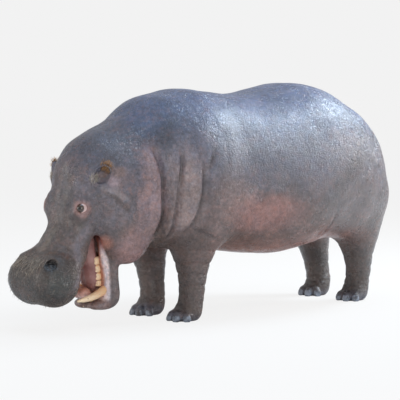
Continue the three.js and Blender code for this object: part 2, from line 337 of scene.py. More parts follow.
@dataclass(frozen=True)
class Fold:
    """A crease along a path, with a roll of skin on the side that lies over it.

    Attributes:
        path: Where the crease runs.
        over: The way from the crease to the roll, along the skin.
        depth: How deep the crease is.
        width: Half the crease's width.
        roll: How far the roll stands out.
        fade: How far past its ends the crease still shows.
        taper: Share of its length over which each end grows shallow.
    """

    path: Path
    over: Place
    depth: float
    width: float
    roll: float = 0.0
    fade: float = 0.045
    taper: float = 0.25

    @property
    def ball(self) -> tuple[Array, float]:
        """Centre and radius of a ball round the crease."""
        middle, radius = self.path.ball
        return middle, radius + 3 * self.fade

    def profile(self, points: Array) -> tuple[Array, Array]:
        """Distance across the crease towards the roll, and how strong the crease is there."""
        place, along = self.path.nearest(points)
        offset = points - place
        over = np.array(self.over) / np.linalg.norm(self.over)
        across = offset @ over
        rest = np.maximum(np.einsum("ij,ij->i", offset, offset) - across**2, 0.0)
        start = ease(along, -0.3 * self.taper, self.taper)
        end = 1.0 - ease(along, 1.0 - self.taper, 1.0 + 0.3 * self.taper)
        return across, start * end * np.exp(-rest / (2 * self.fade**2))

    def push(self, points: Array) -> Array:
        """How far the skin moves in, negative where it moves out."""
        across, strength = self.profile(points)
        crease = self.depth * np.exp(-((across / self.width) ** 2))
        roll = self.roll * np.exp(-(((across - 2.1 * self.width) / (1.6 * self.width)) ** 2))
        return strength * (crease - roll)

    def crease_shade_share(self, points: Array) -> Array:
        """How far into the crease each point is, from 0 to 1, which sets how much painted shade it takes."""
        across, strength = self.profile(points)
        return strength * np.exp(-((across / (0.8 * self.width)) ** 2))


class Work(Enum):
    """What a form does to the flesh that is already there."""

    ADD = auto()
    CUT = auto()
    FOLD = auto()


@dataclass(frozen=True)
class Feature:
    """One form's part in the flesh.

    Attributes:
        form: The form or the fold.
        work: Whether it adds, cuts or folds.
        blend: Size of the fillet where it meets the flesh.
        paired: Whether it stands on both sides, written for the left side.
    """

    form: Form | Fold
    work: Work = Work.ADD
    blend: float = 0.05
    paired: bool = False

    def apply(self, flesh: Array, points: Array) -> Array:
        """The flesh's distance with this feature in it.

        Args:
            flesh: Distance so far at each point.
            points: Those points, on the left side where the feature is paired.

        Returns:
            The new distance at each point.
        """
        if self.work is Work.FOLD:
            return flesh + self.form.push(points)
        if self.work is Work.CUT:
            return -smooth_union(-flesh, self.form.distance(points), self.blend)
        return smooth_union(flesh, self.form.distance(points), self.blend)


def bulge(axes: Axes, half: Place, blend: float) -> Feature:
    """An egg on each side that adds to the flesh."""
    return Feature(Egg(axes, half), Work.ADD, blend, True)


def hollow(axes: Axes, half: Place, blend: float) -> Feature:
    """An egg on each side that is cut out of the flesh."""
    return Feature(Egg(axes, half), Work.CUT, blend, True)


def leftwards(points: Array) -> Array:
    """Points carried across to the animal's left side."""
    left = points.copy()
    left[:, 1] = -np.abs(left[:, 1])
    return left


@dataclass(frozen=True)
class Flesh:
    """The whole body as one distance, from its features in order."""

    features: tuple[Feature, ...]
    margin: float = 0.15
    floor_round: float = 0.008

    def distance(self, points: Array) -> Array:
        """Distance to the skin at each point, negative inside the body."""
        left = leftwards(points)
        flesh = np.full(len(points), FAR)
        for feature in self.features:
            places = left if feature.paired else points
            middle, radius = feature.form.ball
            reach = radius + feature.blend + self.margin
            near = np.nonzero(((places - middle) ** 2).sum(axis=1) < reach * reach)[0]
            if len(near):
                flesh[near] = feature.apply(flesh[near], places[near])
        return -smooth_union(-flesh, points[:, 2], self.floor_round)

    def slope(self, points: Array, step: float = 0.0015) -> tuple[Array, Array]:
        """Distance and outward direction at each point."""
        corners = np.array(((1, -1, -1), (-1, -1, 1), (-1, 1, -1), (1, 1, 1)), float)
        total = np.zeros_like(points)
        mean = np.zeros(len(points))
        for corner in corners:
            value = self.distance(points + corner * step)
            total += value[:, None] * corner
            mean += value / len(corners)
        return mean, total / np.maximum(row_lengths(total), 1e-12)[:, None]

    def crease_shade(self, points: Array) -> Array:
        """How much painted shade each point takes from the crease of each fold, from 0 to 1."""
        left = leftwards(points)
        deepest = np.zeros(len(points))
        for feature in self.features:
            if feature.work is Work.FOLD:
                deepest = np.maximum(deepest, feature.form.crease_shade_share(left))
        return deepest


# ---- The animal's shapes ----

LEVEL = Axes((0.0, 0.0, 0.0), (1.0, 0.0, 0.0), UP)
NECK = Axes.sloping((-0.45, 0.0, 1.02), 20)
HEAD = Axes.sloping((-0.93, 0.0, 1.06), 56)
JAW = Axes.sloping((-1.10, 0.0, 0.60), 93)
GAPE = Axes.sloping((-1.15, 0.0, 0.60), 79)
NAIL_COUNT = 4
NAIL_SPREAD = 64.0  # degrees from the middle of the foot to its outer nails
NAIL_HIGH = 0.024
TOE_BACK = 0.034  # from a nail to the middle of its toe
TOE_HALF = (0.048, 0.033, 0.040)
FOOT_OUT = 0.19
FORE_X = -0.435
HIND_X = 1.145


def under(x: float) -> Axes:
    """Axes on the floor under a leg: forward is down and up is ahead."""
    return Axes((x, 0.0, 0.0), (0.0, 0.0, -1.0), (-1.0, 0.0, 0.0))


TRUNK_FORM = Loft(
    LEVEL,
    (
        (-0.76, 1.345, 0.525, 0.390),
        (-0.60, 1.437, 0.500, 0.480),
        (-0.40, 1.502, 0.472, 0.525),
        (-0.20, 1.490, 0.450, 0.542),
        (0.00, 1.469, 0.410, 0.573),
        (0.20, 1.474, 0.385, 0.598),
        (0.40, 1.510, 0.376, 0.606),
        (0.60, 1.540, 0.405, 0.598),
        (0.80, 1.512, 0.443, 0.577),
        (1.00, 1.400, 0.465, 0.522),
        (1.12, 1.275, 0.520, 0.470),
        (1.22, 1.125, 0.600, 0.398),
        (1.29, 0.970, 0.720, 0.305),
    ),
    square=2.25,
    caps=(0.11, 0.08),
    swell=0.44,
)

NECK_FORM = Loft(
    NECK,
    (
        (-0.10, 0.470, -0.520, 0.470),
        (0.10, 0.442, -0.510, 0.450),
        (0.30, 0.420, -0.450, 0.400),
        (0.50, 0.405, -0.361, 0.338),
        (0.65, 0.345, -0.335, 0.300),
        (0.76, 0.250, -0.270, 0.262),
    ),
    caps=(0.16, 0.20),
)

HEAD_FORM = Loft(
    HEAD,
    (
        (-0.10, 0.228, -0.200, 0.200),
        (0.05, 0.258, -0.240, 0.250),
        (0.20, 0.272, -0.240, 0.262),
        (0.34, 0.214, -0.170, 0.235),
        (0.46, 0.155, -0.116, 0.197),
        (0.58, 0.120, -0.118, 0.178),
        (0.70, 0.125, -0.132, 0.200),
        (0.82, 0.146, -0.110, 0.235),
        (0.93, 0.146, -0.120, 0.250),
        (1.03, 0.110, -0.100, 0.235),
    ),
    square=2.3,
    caps=(0.20, 0.16),
)

JAW_FORM = Loft(
    JAW,
    (
        (-0.15, 0.050, -0.260, 0.210),
        (0.00, 0.050, -0.210, 0.205),
        (0.14, 0.015, -0.150, 0.190),
        (0.28, -0.012, -0.125, 0.185),
        (0.40, -0.008, -0.130, 0.190),
        (0.50, 0.015, -0.100, 0.180),
    ),
    square=2.4,
    caps=(0.15, 0.08),
)

FORELEG_FORM = Loft(
    under(FORE_X),
    (
        (-0.90, 0.150, -0.230, 0.140, -0.300),
        (-0.75, 0.165, -0.265, 0.165, -0.290),
        (-0.58, 0.135, -0.240, 0.155, -0.270),
        (-0.44, 0.130, -0.158, 0.125, -0.240),
        (-0.34, 0.084, -0.130, 0.100, -0.220),
        (-0.22, 0.054, -0.116, 0.083, -0.205),
        (-0.12, 0.056, -0.110, 0.084, -0.195),
        (-0.06, 0.086, -0.098, 0.095, -FOOT_OUT),
        (-0.02, 0.104, -0.085, 0.097, -FOOT_OUT),
        (0.03, 0.118, -0.055, 0.094, -FOOT_OUT),
    ),
    caps=(0.25, 0.08),
)

HINDLEG_FORM = Loft(
    under(HIND_X),
    (
        (-0.98, 0.270, -0.075, 0.150, -0.290),
        (-0.82, 0.320, -0.145, 0.180, -0.300),
        (-0.62, 0.265, -0.135, 0.188, -0.258),
        (-0.48, 0.205, -0.118, 0.156, -0.238),
        (-0.34, 0.115, -0.105, 0.108, -0.222),
        (-0.20, 0.070, -0.100, 0.085, -0.205),
        (-0.11, 0.072, -0.100, 0.088, -FOOT_OUT),
        (-0.06, 0.090, -0.086, 0.095, -FOOT_OUT),
        (-0.02, 0.108, -0.072, 0.097, -FOOT_OUT),
        (0.03, 0.123, -0.045, 0.093, -FOOT_OUT),
    ),
    caps=(0.30, 0.08),
)

TAIL_FORM = Loft(
    Axes.along((1.262, 0.0, 1.04), (0.24, 0.0, -0.9708), (0.9708, 0.0, 0.24)),
    (
        (-0.06, 0.050, -0.060, 0.066),
        (0.06, 0.044, -0.044, 0.050),
        (0.24, 0.026, -0.026, 0.036),
        (0.39, 0.013, -0.013, 0.032),
    ),
    square=2.0,
    caps=(0.06, 0.04),
)


@dataclass(frozen=True)
class Eye:
    """The near eye's place in the head, and the lids' sizes.

    Attributes:
        place: Along, out and up in the head.
        radius: The eyeball's radius.
        lid: Thickness of the lids over the ball.
        gaze: The way that the left eye looks.
        slit: The way that the gap between the lids faces.
        top: The way that the eye's top faces.
        opening: Half sizes of the gap between the lids: deep, long and high.
    """

    place: Place = (0.430, -0.161, 0.118)
    radius: float = 0.044
    lid: float = 0.010
    gaze: Place = (-0.84, -0.53, 0.08)
    slit: Place = (-0.60, -0.79, 0.12)
    top: Place = (-0.35, 0.0, 0.94)
    opening: Place = (0.034, 0.043, 0.036)

    @property
    def centre(self) -> Place:
        """The middle of the left eyeball."""
        return HEAD.place(*self.place)

    def lids(self) -> tuple[Feature, ...]:
        """The brow, the pouch under the eye, the lids and the gap between them."""
        look = Axes.along(self.centre, self.slit, self.top)
        shell = self.radius + self.lid
        return (
            bulge(HEAD.moved(0.412, -0.132, 0.112), (0.088, 0.062, 0.070), 0.06),
            bulge(look.moved(0.002, 0.0, -0.034), (0.030, 0.040, 0.020), 0.018),
            bulge(look, (shell, shell, shell), 0.012),
            hollow(look.moved(shell, 0.0, 0.0), self.opening, 0.007),
        )


@dataclass(frozen=True)
class Ear:
    """The left ear: a leaf-shaped cup, laid back along the head."""

    base: Place = (0.278, -0.208, 0.131)
    tip: Place = (0.122, -0.284, 0.176)
    half: Place = (0.074, 0.061, 0.030)
    hollow: Place = (0.060, 0.048, 0.038)
    lift: float = 0.024
    outward: Place = (-0.62, -0.78, 0.10)

    @cached_property
    def axes(self) -> Axes:
        """The ear's own axes: forward to its tip, up out of the cup."""
        base, tip = np.array(HEAD.place(*self.base)), np.array(HEAD.place(*self.tip))
        return Axes.along(tuple(base + 0.46 * (tip - base)), tuple(tip - base), self.outward)

    def features(self) -> tuple[Feature, ...]:
        """The stalk, the leaf and its hollow."""
        return (
            bulge(self.axes.moved(-0.055, 0.0, -0.012), (0.050, 0.040, 0.034), 0.035),
            bulge(self.axes, self.half, 0.020),
            hollow(self.axes.moved(0.006, 0.0, self.lift), self.hollow, 0.006),
        )


EYE = Eye()
EAR = Ear()


def toe_places(leg: Loft) -> list[tuple[float, Place]]:
    """Where the toes of a left foot end.

    Args:
        leg: The foot's leg, whose last section is the foot.

    Returns:
        Each toe's turn outwards in radians, and the place of its nail.
    """
    _, front, _, half, _ = leg.sections[-1]
    places = []
    for number in range(NAIL_COUNT):
        turn = math.radians(NAIL_SPREAD) * (2.0 * number / (NAIL_COUNT - 1) - 1.0)
        ahead = front + 0.007 - half + math.cos(turn) * (half + 0.003)
        out = -FOOT_OUT + math.sin(turn) * (half + 0.001)
        places.append((turn, (leg.axes.origin[0] - ahead, out, NAIL_HIGH)))
    return places


def toes(leg: Loft) -> Iterable[Feature]:
    """The rounded toes of a foot, behind its nails."""
    for turn, (x, y, z) in toe_places(leg):
        ahead = (-math.cos(turn), math.sin(turn), 0.0)
        centre = (x - TOE_BACK * ahead[0], y - TOE_BACK * ahead[1], z + 0.004)
        yield bulge(Axes(centre, ahead, UP), TOE_HALF, 0.014)


def mouth_hollows() -> tuple[Feature, ...]:
    """The gutters beside the cheek teeth, the roof, the floor and the throat of the open mouth."""
    bed = ((0.13, 0.030), (0.25, 0.005), (0.385, -0.005))
    gutter = tuple(JAW.place(along, -0.134, up) for along, up in bed)
    roof = (
        (0.50, -0.055, -0.24, 0.110),
        (0.70, -0.045, -0.24, 0.115),
        (0.84, -0.055, -0.26, 0.140),
        (0.97, -0.080, -0.26, 0.120),
    )
    floor = (
        (-0.02, 0.20, -0.020, 0.085),
        (0.15, 0.20, -0.055, 0.090),
        (0.30, 0.20, -0.075, 0.092),
        (0.44, 0.20, -0.050, 0.080),
    )
    throat = (
        (-0.14, 0.020, -0.050, 0.080),
        (-0.04, 0.045, -0.060, 0.128),
        (0.052, 0.060, -0.070, 0.176),
        (0.14, 0.060, -0.070, 0.200),
    )
    return (
        Feature(Path(gutter, (0.013, 0.013)), Work.CUT, 0.014, True),
        Feature(Loft(HEAD, roof, caps=(0.12, 0.08)), Work.CUT, 0.030),
        Feature(Loft(JAW, floor, caps=(0.10, 0.06)), Work.CUT, 0.020),
        Feature(Loft(GAPE, throat, caps=(0.08, 0.06)), Work.CUT, 0.025),
    )


BACKWARDS, FORWARDS = (1.0, 0.0, 0.0), (-1.0, 0.0, 0.0)
JOWL_EDGE = (
    (-0.843, -0.308, 1.149),
    (-0.820, -0.350, 1.062),
    (-0.797, -0.377, 0.950),
    (-0.787, -0.361, 0.830),
    (-0.764, -0.320, 0.690),
    (-0.784, -0.270, 0.575),
    (-0.850, -0.205, 0.485),
)
NECK_LINE = (
    (-0.679, -0.425, 1.120),
    (-0.697, -0.450, 0.990),
    (-0.706, -0.452, 0.850),
    (-0.701, -0.405, 0.700),
    (-0.680, -0.320, 0.585),
    (-0.690, -0.230, 0.525),
)
SHOULDER = (
    (-0.567, -0.512, 1.080),
    (-0.566, -0.505, 0.921),
    (-0.575, -0.479, 0.774),
    (-0.590, -0.410, 0.650),
    (-0.625, -0.310, 0.560),
)
SHOULDER_TOP = ((-0.480, -0.505, 1.150), (-0.506, -0.512, 1.071), (-0.548, -0.510, 0.984))
ELBOW = ((-0.599, -0.391, 0.624), (-0.531, -0.429, 0.604), (-0.442, -0.435, 0.567), (-0.318, -0.402, 0.518))
FLANK = ((0.575, -0.330, 0.455), (0.595, -0.430, 0.525), (0.600, -0.505, 0.605), (0.588, -0.555, 0.685))
FOLDS = (
    Fold(Path(JOWL_EDGE), (-1.0, 0.0, -0.1), depth=0.028, width=0.016, roll=0.018, taper=0.20),
    Fold(Path(NECK_LINE), FORWARDS, depth=0.026, width=0.014, roll=0.018, taper=0.16),
    Fold(Path(SHOULDER), FORWARDS, depth=0.013, width=0.018, roll=0.010, taper=0.30),
    Fold(Path(SHOULDER_TOP), BACKWARDS, depth=0.007, width=0.020, taper=0.45),
    Fold(Path(ELBOW), (0.2, 0.0, 1.0), depth=0.0045, width=0.014, roll=0.003, taper=0.45),
    Fold(Path(FLANK), (-1.0, 0.0, 0.3), depth=0.012, width=0.013, roll=0.007, taper=0.35),
)


def flesh() -> Flesh:
    """The whole animal but its eyeballs, teeth, tongue, nails and hair."""
    return Flesh(
        (
            Feature(TRUNK_FORM, blend=0.05),
            Feature(NECK_FORM, blend=0.12),
            bulge(LEVEL.at((-0.42, -0.31, 0.95)), (0.26, 0.205, 0.40), 0.10),  # shoulder
            bulge(LEVEL.at((0.91, -0.305, 0.90)), (0.29, 0.222, 0.40), 0.12),  # thigh
            bulge(LEVEL.at((1.08, -0.17, 0.84)), (0.17, 0.16, 0.30), 0.08),  # buttock
            Feature(FORELEG_FORM, blend=0.08, paired=True),
            Feature(HINDLEG_FORM, blend=0.08, paired=True),
            *toes(FORELEG_FORM),
            *toes(HINDLEG_FORM),
            Feature(HEAD_FORM, blend=0.09),
            bulge(HEAD.moved(0.24, -0.15, -0.12), (0.24, 0.15, 0.20), 0.08),  # cheek
            bulge(LEVEL.at((-0.93, -0.17, 0.66)), (0.20, 0.14, 0.26), 0.06),  # jowl
            bulge(HEAD.moved(0.90, -0.112, 0.016), (0.155, 0.142, 0.158), 0.07),  # side of the muzzle
            Feature(Egg(HEAD.moved(0.915, 0.0, 0.030), (0.134, 0.100, 0.120)), blend=0.06),  # its middle
            bulge(HEAD.moved(0.845, -0.148, 0.090), (0.072, 0.060, 0.055), 0.045),  # mound of the nostril
            Feature(JAW_FORM, blend=0.035),
            bulge(JAW.moved(0.458, -0.060, 0.016), (0.030, 0.075, 0.042), 0.03),  # lower lip
            Feature(TAIL_FORM, blend=0.03),
            *mouth_hollows(),
            Feature(Egg(JAW.moved(0.376, 0.0, 0.072), (0.042, 0.070, 0.052)), blend=0.02),  # gum
            *EYE.lids(),
            *EAR.features(),
            hollow(HEAD.moved(0.850, -0.182, 0.140), (0.038, 0.036, 0.031), 0.010),  # nostril
            bulge(HEAD.moved(0.870, -0.170, 0.127), (0.034, 0.029, 0.027), 0.003),  # its flap
            *(Feature(fold, Work.FOLD, 0.0, True) for fold in FOLDS),
        )
    )


# ---- Meshing ----


@dataclass(frozen=True)
class Lens:
    """Draws sample places together round one place, so that the mesh is finest there.

    Attributes:
        centre: The place where samples are closest.
        power: How much closer they are there.
        spread: How far the effect reaches.
    """

    centre: Place = (-1.17, 0.0, 0.74)
    power: float = 2.0
    spread: float = 1.6

    def world(self, samples: Array) -> Array:
        """The places of samples that are counted from the centre."""
        radius = np.maximum(row_lengths(samples), 1e-9)
        shrink = 1.0 - (1.0 - 1.0 / self.power) * self.spread * np.arctan(radius / self.spread) / radius
        return np.array(self.centre) + samples * shrink[:, None]


@dataclass(frozen=True)
class Skinner:
    """Turns a distance into a closed mesh of small, even four-sided faces.

    Attributes:
        step: Size of a cell far from the lens's centre.
        lens: Where cells are smaller.
        low: Lowest corner of the space that is searched, counted from the lens's centre.
        high: Highest corner of it.
    """

    step: float = 0.0175
    lens: Lens = Lens()
    low: Place = (-1.15, -1.25, -1.50)
    high: Place = (4.00, 1.25, 1.50)
    cells: int = 4

    def _blocks(self, distance: Callable[[Array], Array]) -> Array:
        """Whole-number corners of the blocks of cells that the surface may cross."""
        size = self.step * self.cells
        counts = np.ceil((np.array(self.high) - self.low) / size).astype(int)
        blocks = np.stack(np.meshgrid(*[np.arange(n) for n in counts], indexing="ij"), -1).reshape(-1, 3)
        middles = np.array(self.low) + (blocks + 0.5) * size
        world = self.lens.world(middles)
        corner = self.lens.world(middles + size * 0.5)
        reach = row_lengths(corner - world) * 1.6 + 0.02
        return blocks[np.abs(distance(world)) < reach]

    def mesh(self, distance: Callable[[Array], Array]) -> tuple[Array, Array]:
        """The surface where the distance is zero.

        Args:
            distance: Gives the distance at each place.

        Returns:
            The vertices, and the four vertices of each face.
        """
        n, low = self.cells, np.array(self.low)
        blocks = self._blocks(distance)
        span = int(blocks.max()) * n + 2 * n + 2
        spread = np.array((span * span, span, 1), np.int64)
        corners = np.stack(np.meshgrid(*[np.arange(n + 1)] * 3, indexing="ij"), -1).reshape(-1, 3)
        nodes = (blocks[:, None] * n + corners[None]) @ spread
        unique, back = np.unique(nodes, return_inverse=True)
        places = np.stack(np.unravel_index(unique, (span, span, span)), -1)
        value = distance(self.lens.world(low + places * self.step))
        grid = value[back.reshape(-1)].reshape(len(blocks), n + 1, n + 1, n + 1)

        eight = list(np.ndindex(2, 2, 2))
        around = np.stack([grid[:, i : i + n, j : j + n, k : k + n] for i, j, k in eight], -1)
        inside = around < 0
        crossed = inside.any(-1) & ~inside.all(-1)
        block, *cell = np.nonzero(crossed)
        cell = blocks[block] * n + np.stack(cell, -1)
        around = around[crossed]
        total, count = np.zeros((len(cell), 3)), np.zeros((len(cell), 1))
        for a in range(8):
            for b in range(a + 1, 8):
                if sum(eight[a][k] != eight[b][k] for k in range(3)) != 1:
                    continue
                start, end = around[:, a], around[:, b]
                cut = (start < 0) != (end < 0)
                t = start[cut] / (start[cut] - end[cut])
                total[cut] += np.array(eight[a]) + t[:, None] * (np.array(eight[b]) - eight[a])
                count[cut] += 1
        vertices = self.lens.world(low + (cell + total / count) * self.step)

        ids = cell @ spread
        order = np.argsort(ids)
        ranked = ids[order]
        faces = []
        for axis in range(3):
            ahead = [slice(0, n)] * 3
            ahead[axis] = slice(1, n + 1)
            here, there = grid[:, :n, :n, :n] < 0, grid[(slice(None), *ahead)] < 0
            block, *node = np.nonzero(here != there)
            leaving = here[(block, *node)]
            node = (blocks[block] * n + np.stack(node, -1)) @ spread
            b, c = spread[(axis + 1) % 3], spread[(axis + 2) % 3]
            ring = np.stack([node - b - c, node - c, node, node - b], -1)
            ring[~leaving] = ring[~leaving][:, ::-1]
            faces.append(ring)
        ring = np.concatenate(faces)
        found = np.searchsorted(ranked, ring)
        found = np.minimum(found, len(ranked) - 1)
        whole = (ranked[found] == ring).all(axis=1)
        if not whole.all():
            log.warning("%d faces left out of the skin", int((~whole).sum()))
        return vertices, order[found[whole]]


def triangles_of(vertices: Array, quads: Array) -> Array:
    """Each four-sided face as two triangles, split along its shorter diagonal."""
    first = row_lengths(vertices[quads[:, 0]] - vertices[quads[:, 2]])
    second = row_lengths(vertices[quads[:, 1]] - vertices[quads[:, 3]])
    turned = np.where((first <= second)[:, None], quads, np.roll(quads, -1, axis=1))
    return np.concatenate([turned[:, [0, 1, 2]], turned[:, [0, 2, 3]]])


def edges_of(triangles: Array) -> tuple[Array, Array]:
    """The edges of triangles, each once, and each triangle's three edges."""
    pairs = np.sort(np.concatenate([triangles[:, [k, (k + 1) % 3]] for k in range(3)]), axis=1)
    code = pairs[:, 0].astype(np.int64) * (triangles.max() + 1) + pairs[:, 1]
    _, first, back = np.unique(code, return_index=True, return_inverse=True)
    return pairs[first], back.reshape(3, -1).T


def refine(vertices: Array, triangles: Array, target: Callable[[Array], Array]) -> tuple[Array, Array]:
    """Splits each edge that is longer than its target at its middle.

    Args:
        vertices: Places of the vertices.
        triangles: Three vertices of each triangle.
        target: Longest edge wanted at each place.

    Returns:
        The new vertices and triangles.
    """
    edges, sides = edges_of(triangles)
    start, end = vertices[edges[:, 0]], vertices[edges[:, 1]]
    middle = (start + end) / 2
    split = row_lengths(end - start) > target(middle)
    number = np.full(len(edges), -1)
    number[split] = len(vertices) + np.arange(int(split.sum()))
    a, b, c = triangles.T
    ab, bc, ca = number[sides].T
    kinds = (ab >= 0) * 1 + (bc >= 0) * 2 + (ca >= 0) * 4
    out = [triangles[kinds == 0]]

    def pick(kind: int, *rows: tuple[Array, Array, Array]) -> None:
        """Adds the triangles that stand for those split in one way."""
        chosen = kinds == kind
        out.extend(np.stack([column[chosen] for column in row], -1) for row in rows)

    pick(1, (a, ab, c), (ab, b, c))
    pick(2, (a, b, bc), (a, bc, c))
    pick(4, (a, b, ca), (ca, b, c))
    pick(3, (a, ab, c), (ab, bc, c), (ab, b, bc))
    pick(6, (a, b, bc), (a, bc, ca), (ca, bc, c))
    pick(5, (ab, b, c), (ab, c, ca), (a, ab, ca))
    pick(7, (a, ab, ca), (ab, b, bc), (ca, bc, c), (ab, bc, ca))
    return np.concatenate([vertices, middle[split]]), np.concatenate(out)


def settle(
    vertices: Array,
    triangles: Array,
    slope: Callable[[Array], tuple[Array, Array]],
    rounds: int,
    slide: float = 0.5,
) -> tuple[Array, Array]:
    """Evens out a mesh along its surface and draws it onto the zero of a distance.

    Args:
        vertices: Places of the vertices.
        triangles: Three vertices of each triangle.
        slope: Gives the distance and the outward direction at each place.
        rounds: How many times to do it.
        slide: How far towards its neighbours' middle a vertex slides each time.

    Returns:
        The new places and the outward direction at each.
    """
    edges, _ = edges_of(triangles)
    ends = np.concatenate([edges[:, 0], edges[:, 1]])
    others = np.concatenate([edges[:, 1], edges[:, 0]])
    count = np.bincount(ends, minlength=len(vertices))[:, None]
    normal = np.zeros_like(vertices)
    for _ in range(rounds):
        mean = np.stack([np.bincount(ends, vertices[others, k], len(vertices)) for k in range(3)], -1) / count
        distance, normal = slope(vertices)
        shift = mean - vertices
        shift -= np.einsum("ij,ij->i", shift, normal)[:, None] * normal
        vertices = vertices + slide * shift - np.clip(distance, -0.012, 0.012)[:, None] * normal
    distance, normal = slope(vertices)
    return vertices - np.clip(distance, -0.006, 0.006)[:, None] * normal, normal


# ---- Where the hide's colours and wrinkles lie ----


@dataclass(frozen=True)
class Zone:
    """A patch of the hide with a colour or a trait of its own, written for the left side.

    Attributes:
        place: The patch's middle.
        reach: Its half sizes along X, Y and Z.
        tone: Its colour, or the values of three traits.
        strength: How much of what was there it covers.
        edge: Where it begins to fade, as a share of its reach.
    """

    place: Place
    reach: Place
    tone: Colour = (1.0, 1.0, 1.0)
    strength: float = 1.0
    edge: float = 0.35

    def share(self, points: Array) -> Array:
        """How much of the patch there is at each point, from 0 to 1."""
        near = row_lengths((points - np.array(self.place)) / np.array(self.reach))
        return self.strength * (1.0 - ease(near, self.edge, 1.2))


@dataclass(frozen=True)
class Streak:
    """A band of the hide with a colour of its own, along a line on the left side.

    Attributes:
        places: The line's corners.
        reach: Half width of the band.
        tone: Its colour.
        strength: How much of what was there it covers.
        edge: Where it begins to fade, as a share of its reach.
    """

    places: tuple[Place, ...]
    reach: float
    tone: Colour
    strength: float = 1.0
    edge: float = 0.15

    def share(self, points: Array) -> Array:
        """How much of the band there is at each point, from 0 to 1."""
        near = Path(self.places).distance(points) / self.reach
        return self.strength * (1.0 - ease(near, self.edge, 1.2))


def laid(ground: Array, share: Array, tone: Colour) -> Array:
    """A ground with a share of a tone over it."""
    return ground + share[:, None] * (np.array(tone) - ground)


def painted(points: Array, ground: Array, zones: Sequence[Zone | Streak]) -> Array:
    """Lays patches over a ground, one after another.

    Args:
        points: Places, on the left side.
        ground: Three values at each place.
        zones: The patches and bands, the first lowest.

    Returns:
        Three values at each place.
    """
    for zone in zones:
        ground = laid(ground, zone.share(points), zone.tone)
    return ground


FLANK_SHADE = ((0.75, -0.57, 1.02), (0.596, -0.598, 0.898), (0.50, -0.60, 0.78))
CHIN_EDGE = ((-1.27, -0.175, 0.62), (-1.31, -0.19, 0.52), (-1.335, -0.215, 0.427), (-1.375, -0.25, 0.32))
UPPER_LIP = ((-1.467, -0.08, 0.510), (-1.444, -0.167, 0.500), (-1.425, -0.205, 0.490))
# Painted highlight along the ridge of the nose, from the brow down the snout.
NOSE_RIDGE_HIGHLIGHT = (
    (-1.28, 0.0, 1.03),
    (-1.295, -0.03, 0.94),
    (-1.306, -0.04, 0.848),
    (-1.317, -0.02, 0.772),
    (-1.337, -0.012, 0.692),
)
NOSE_TIP = ((-1.372, 0.0, 0.619), (-1.414, 0.0, 0.565), (-1.46, 0.0, 0.525))
# Painted shade along a diagonal fold of the cheek, and painted highlight on the roll beside it.
CHEEK_FOLD_SHADE = (
    (-1.150, -0.261, 0.871),
    (-1.107, -0.286, 0.840),
    (-1.066, -0.304, 0.795),
    (-1.028, -0.317, 0.763),
)
CHEEK_FOLD_HIGHLIGHT = ((-1.175, -0.250, 0.895), (-1.110, -0.290, 0.868), (-1.040, -0.315, 0.825))
EAR_RIM = ((-0.037, -0.052, 0.012), (-0.060, -0.030, 0.012), (-0.070, 0.0, 0.012), (-0.058, 0.034, 0.010))

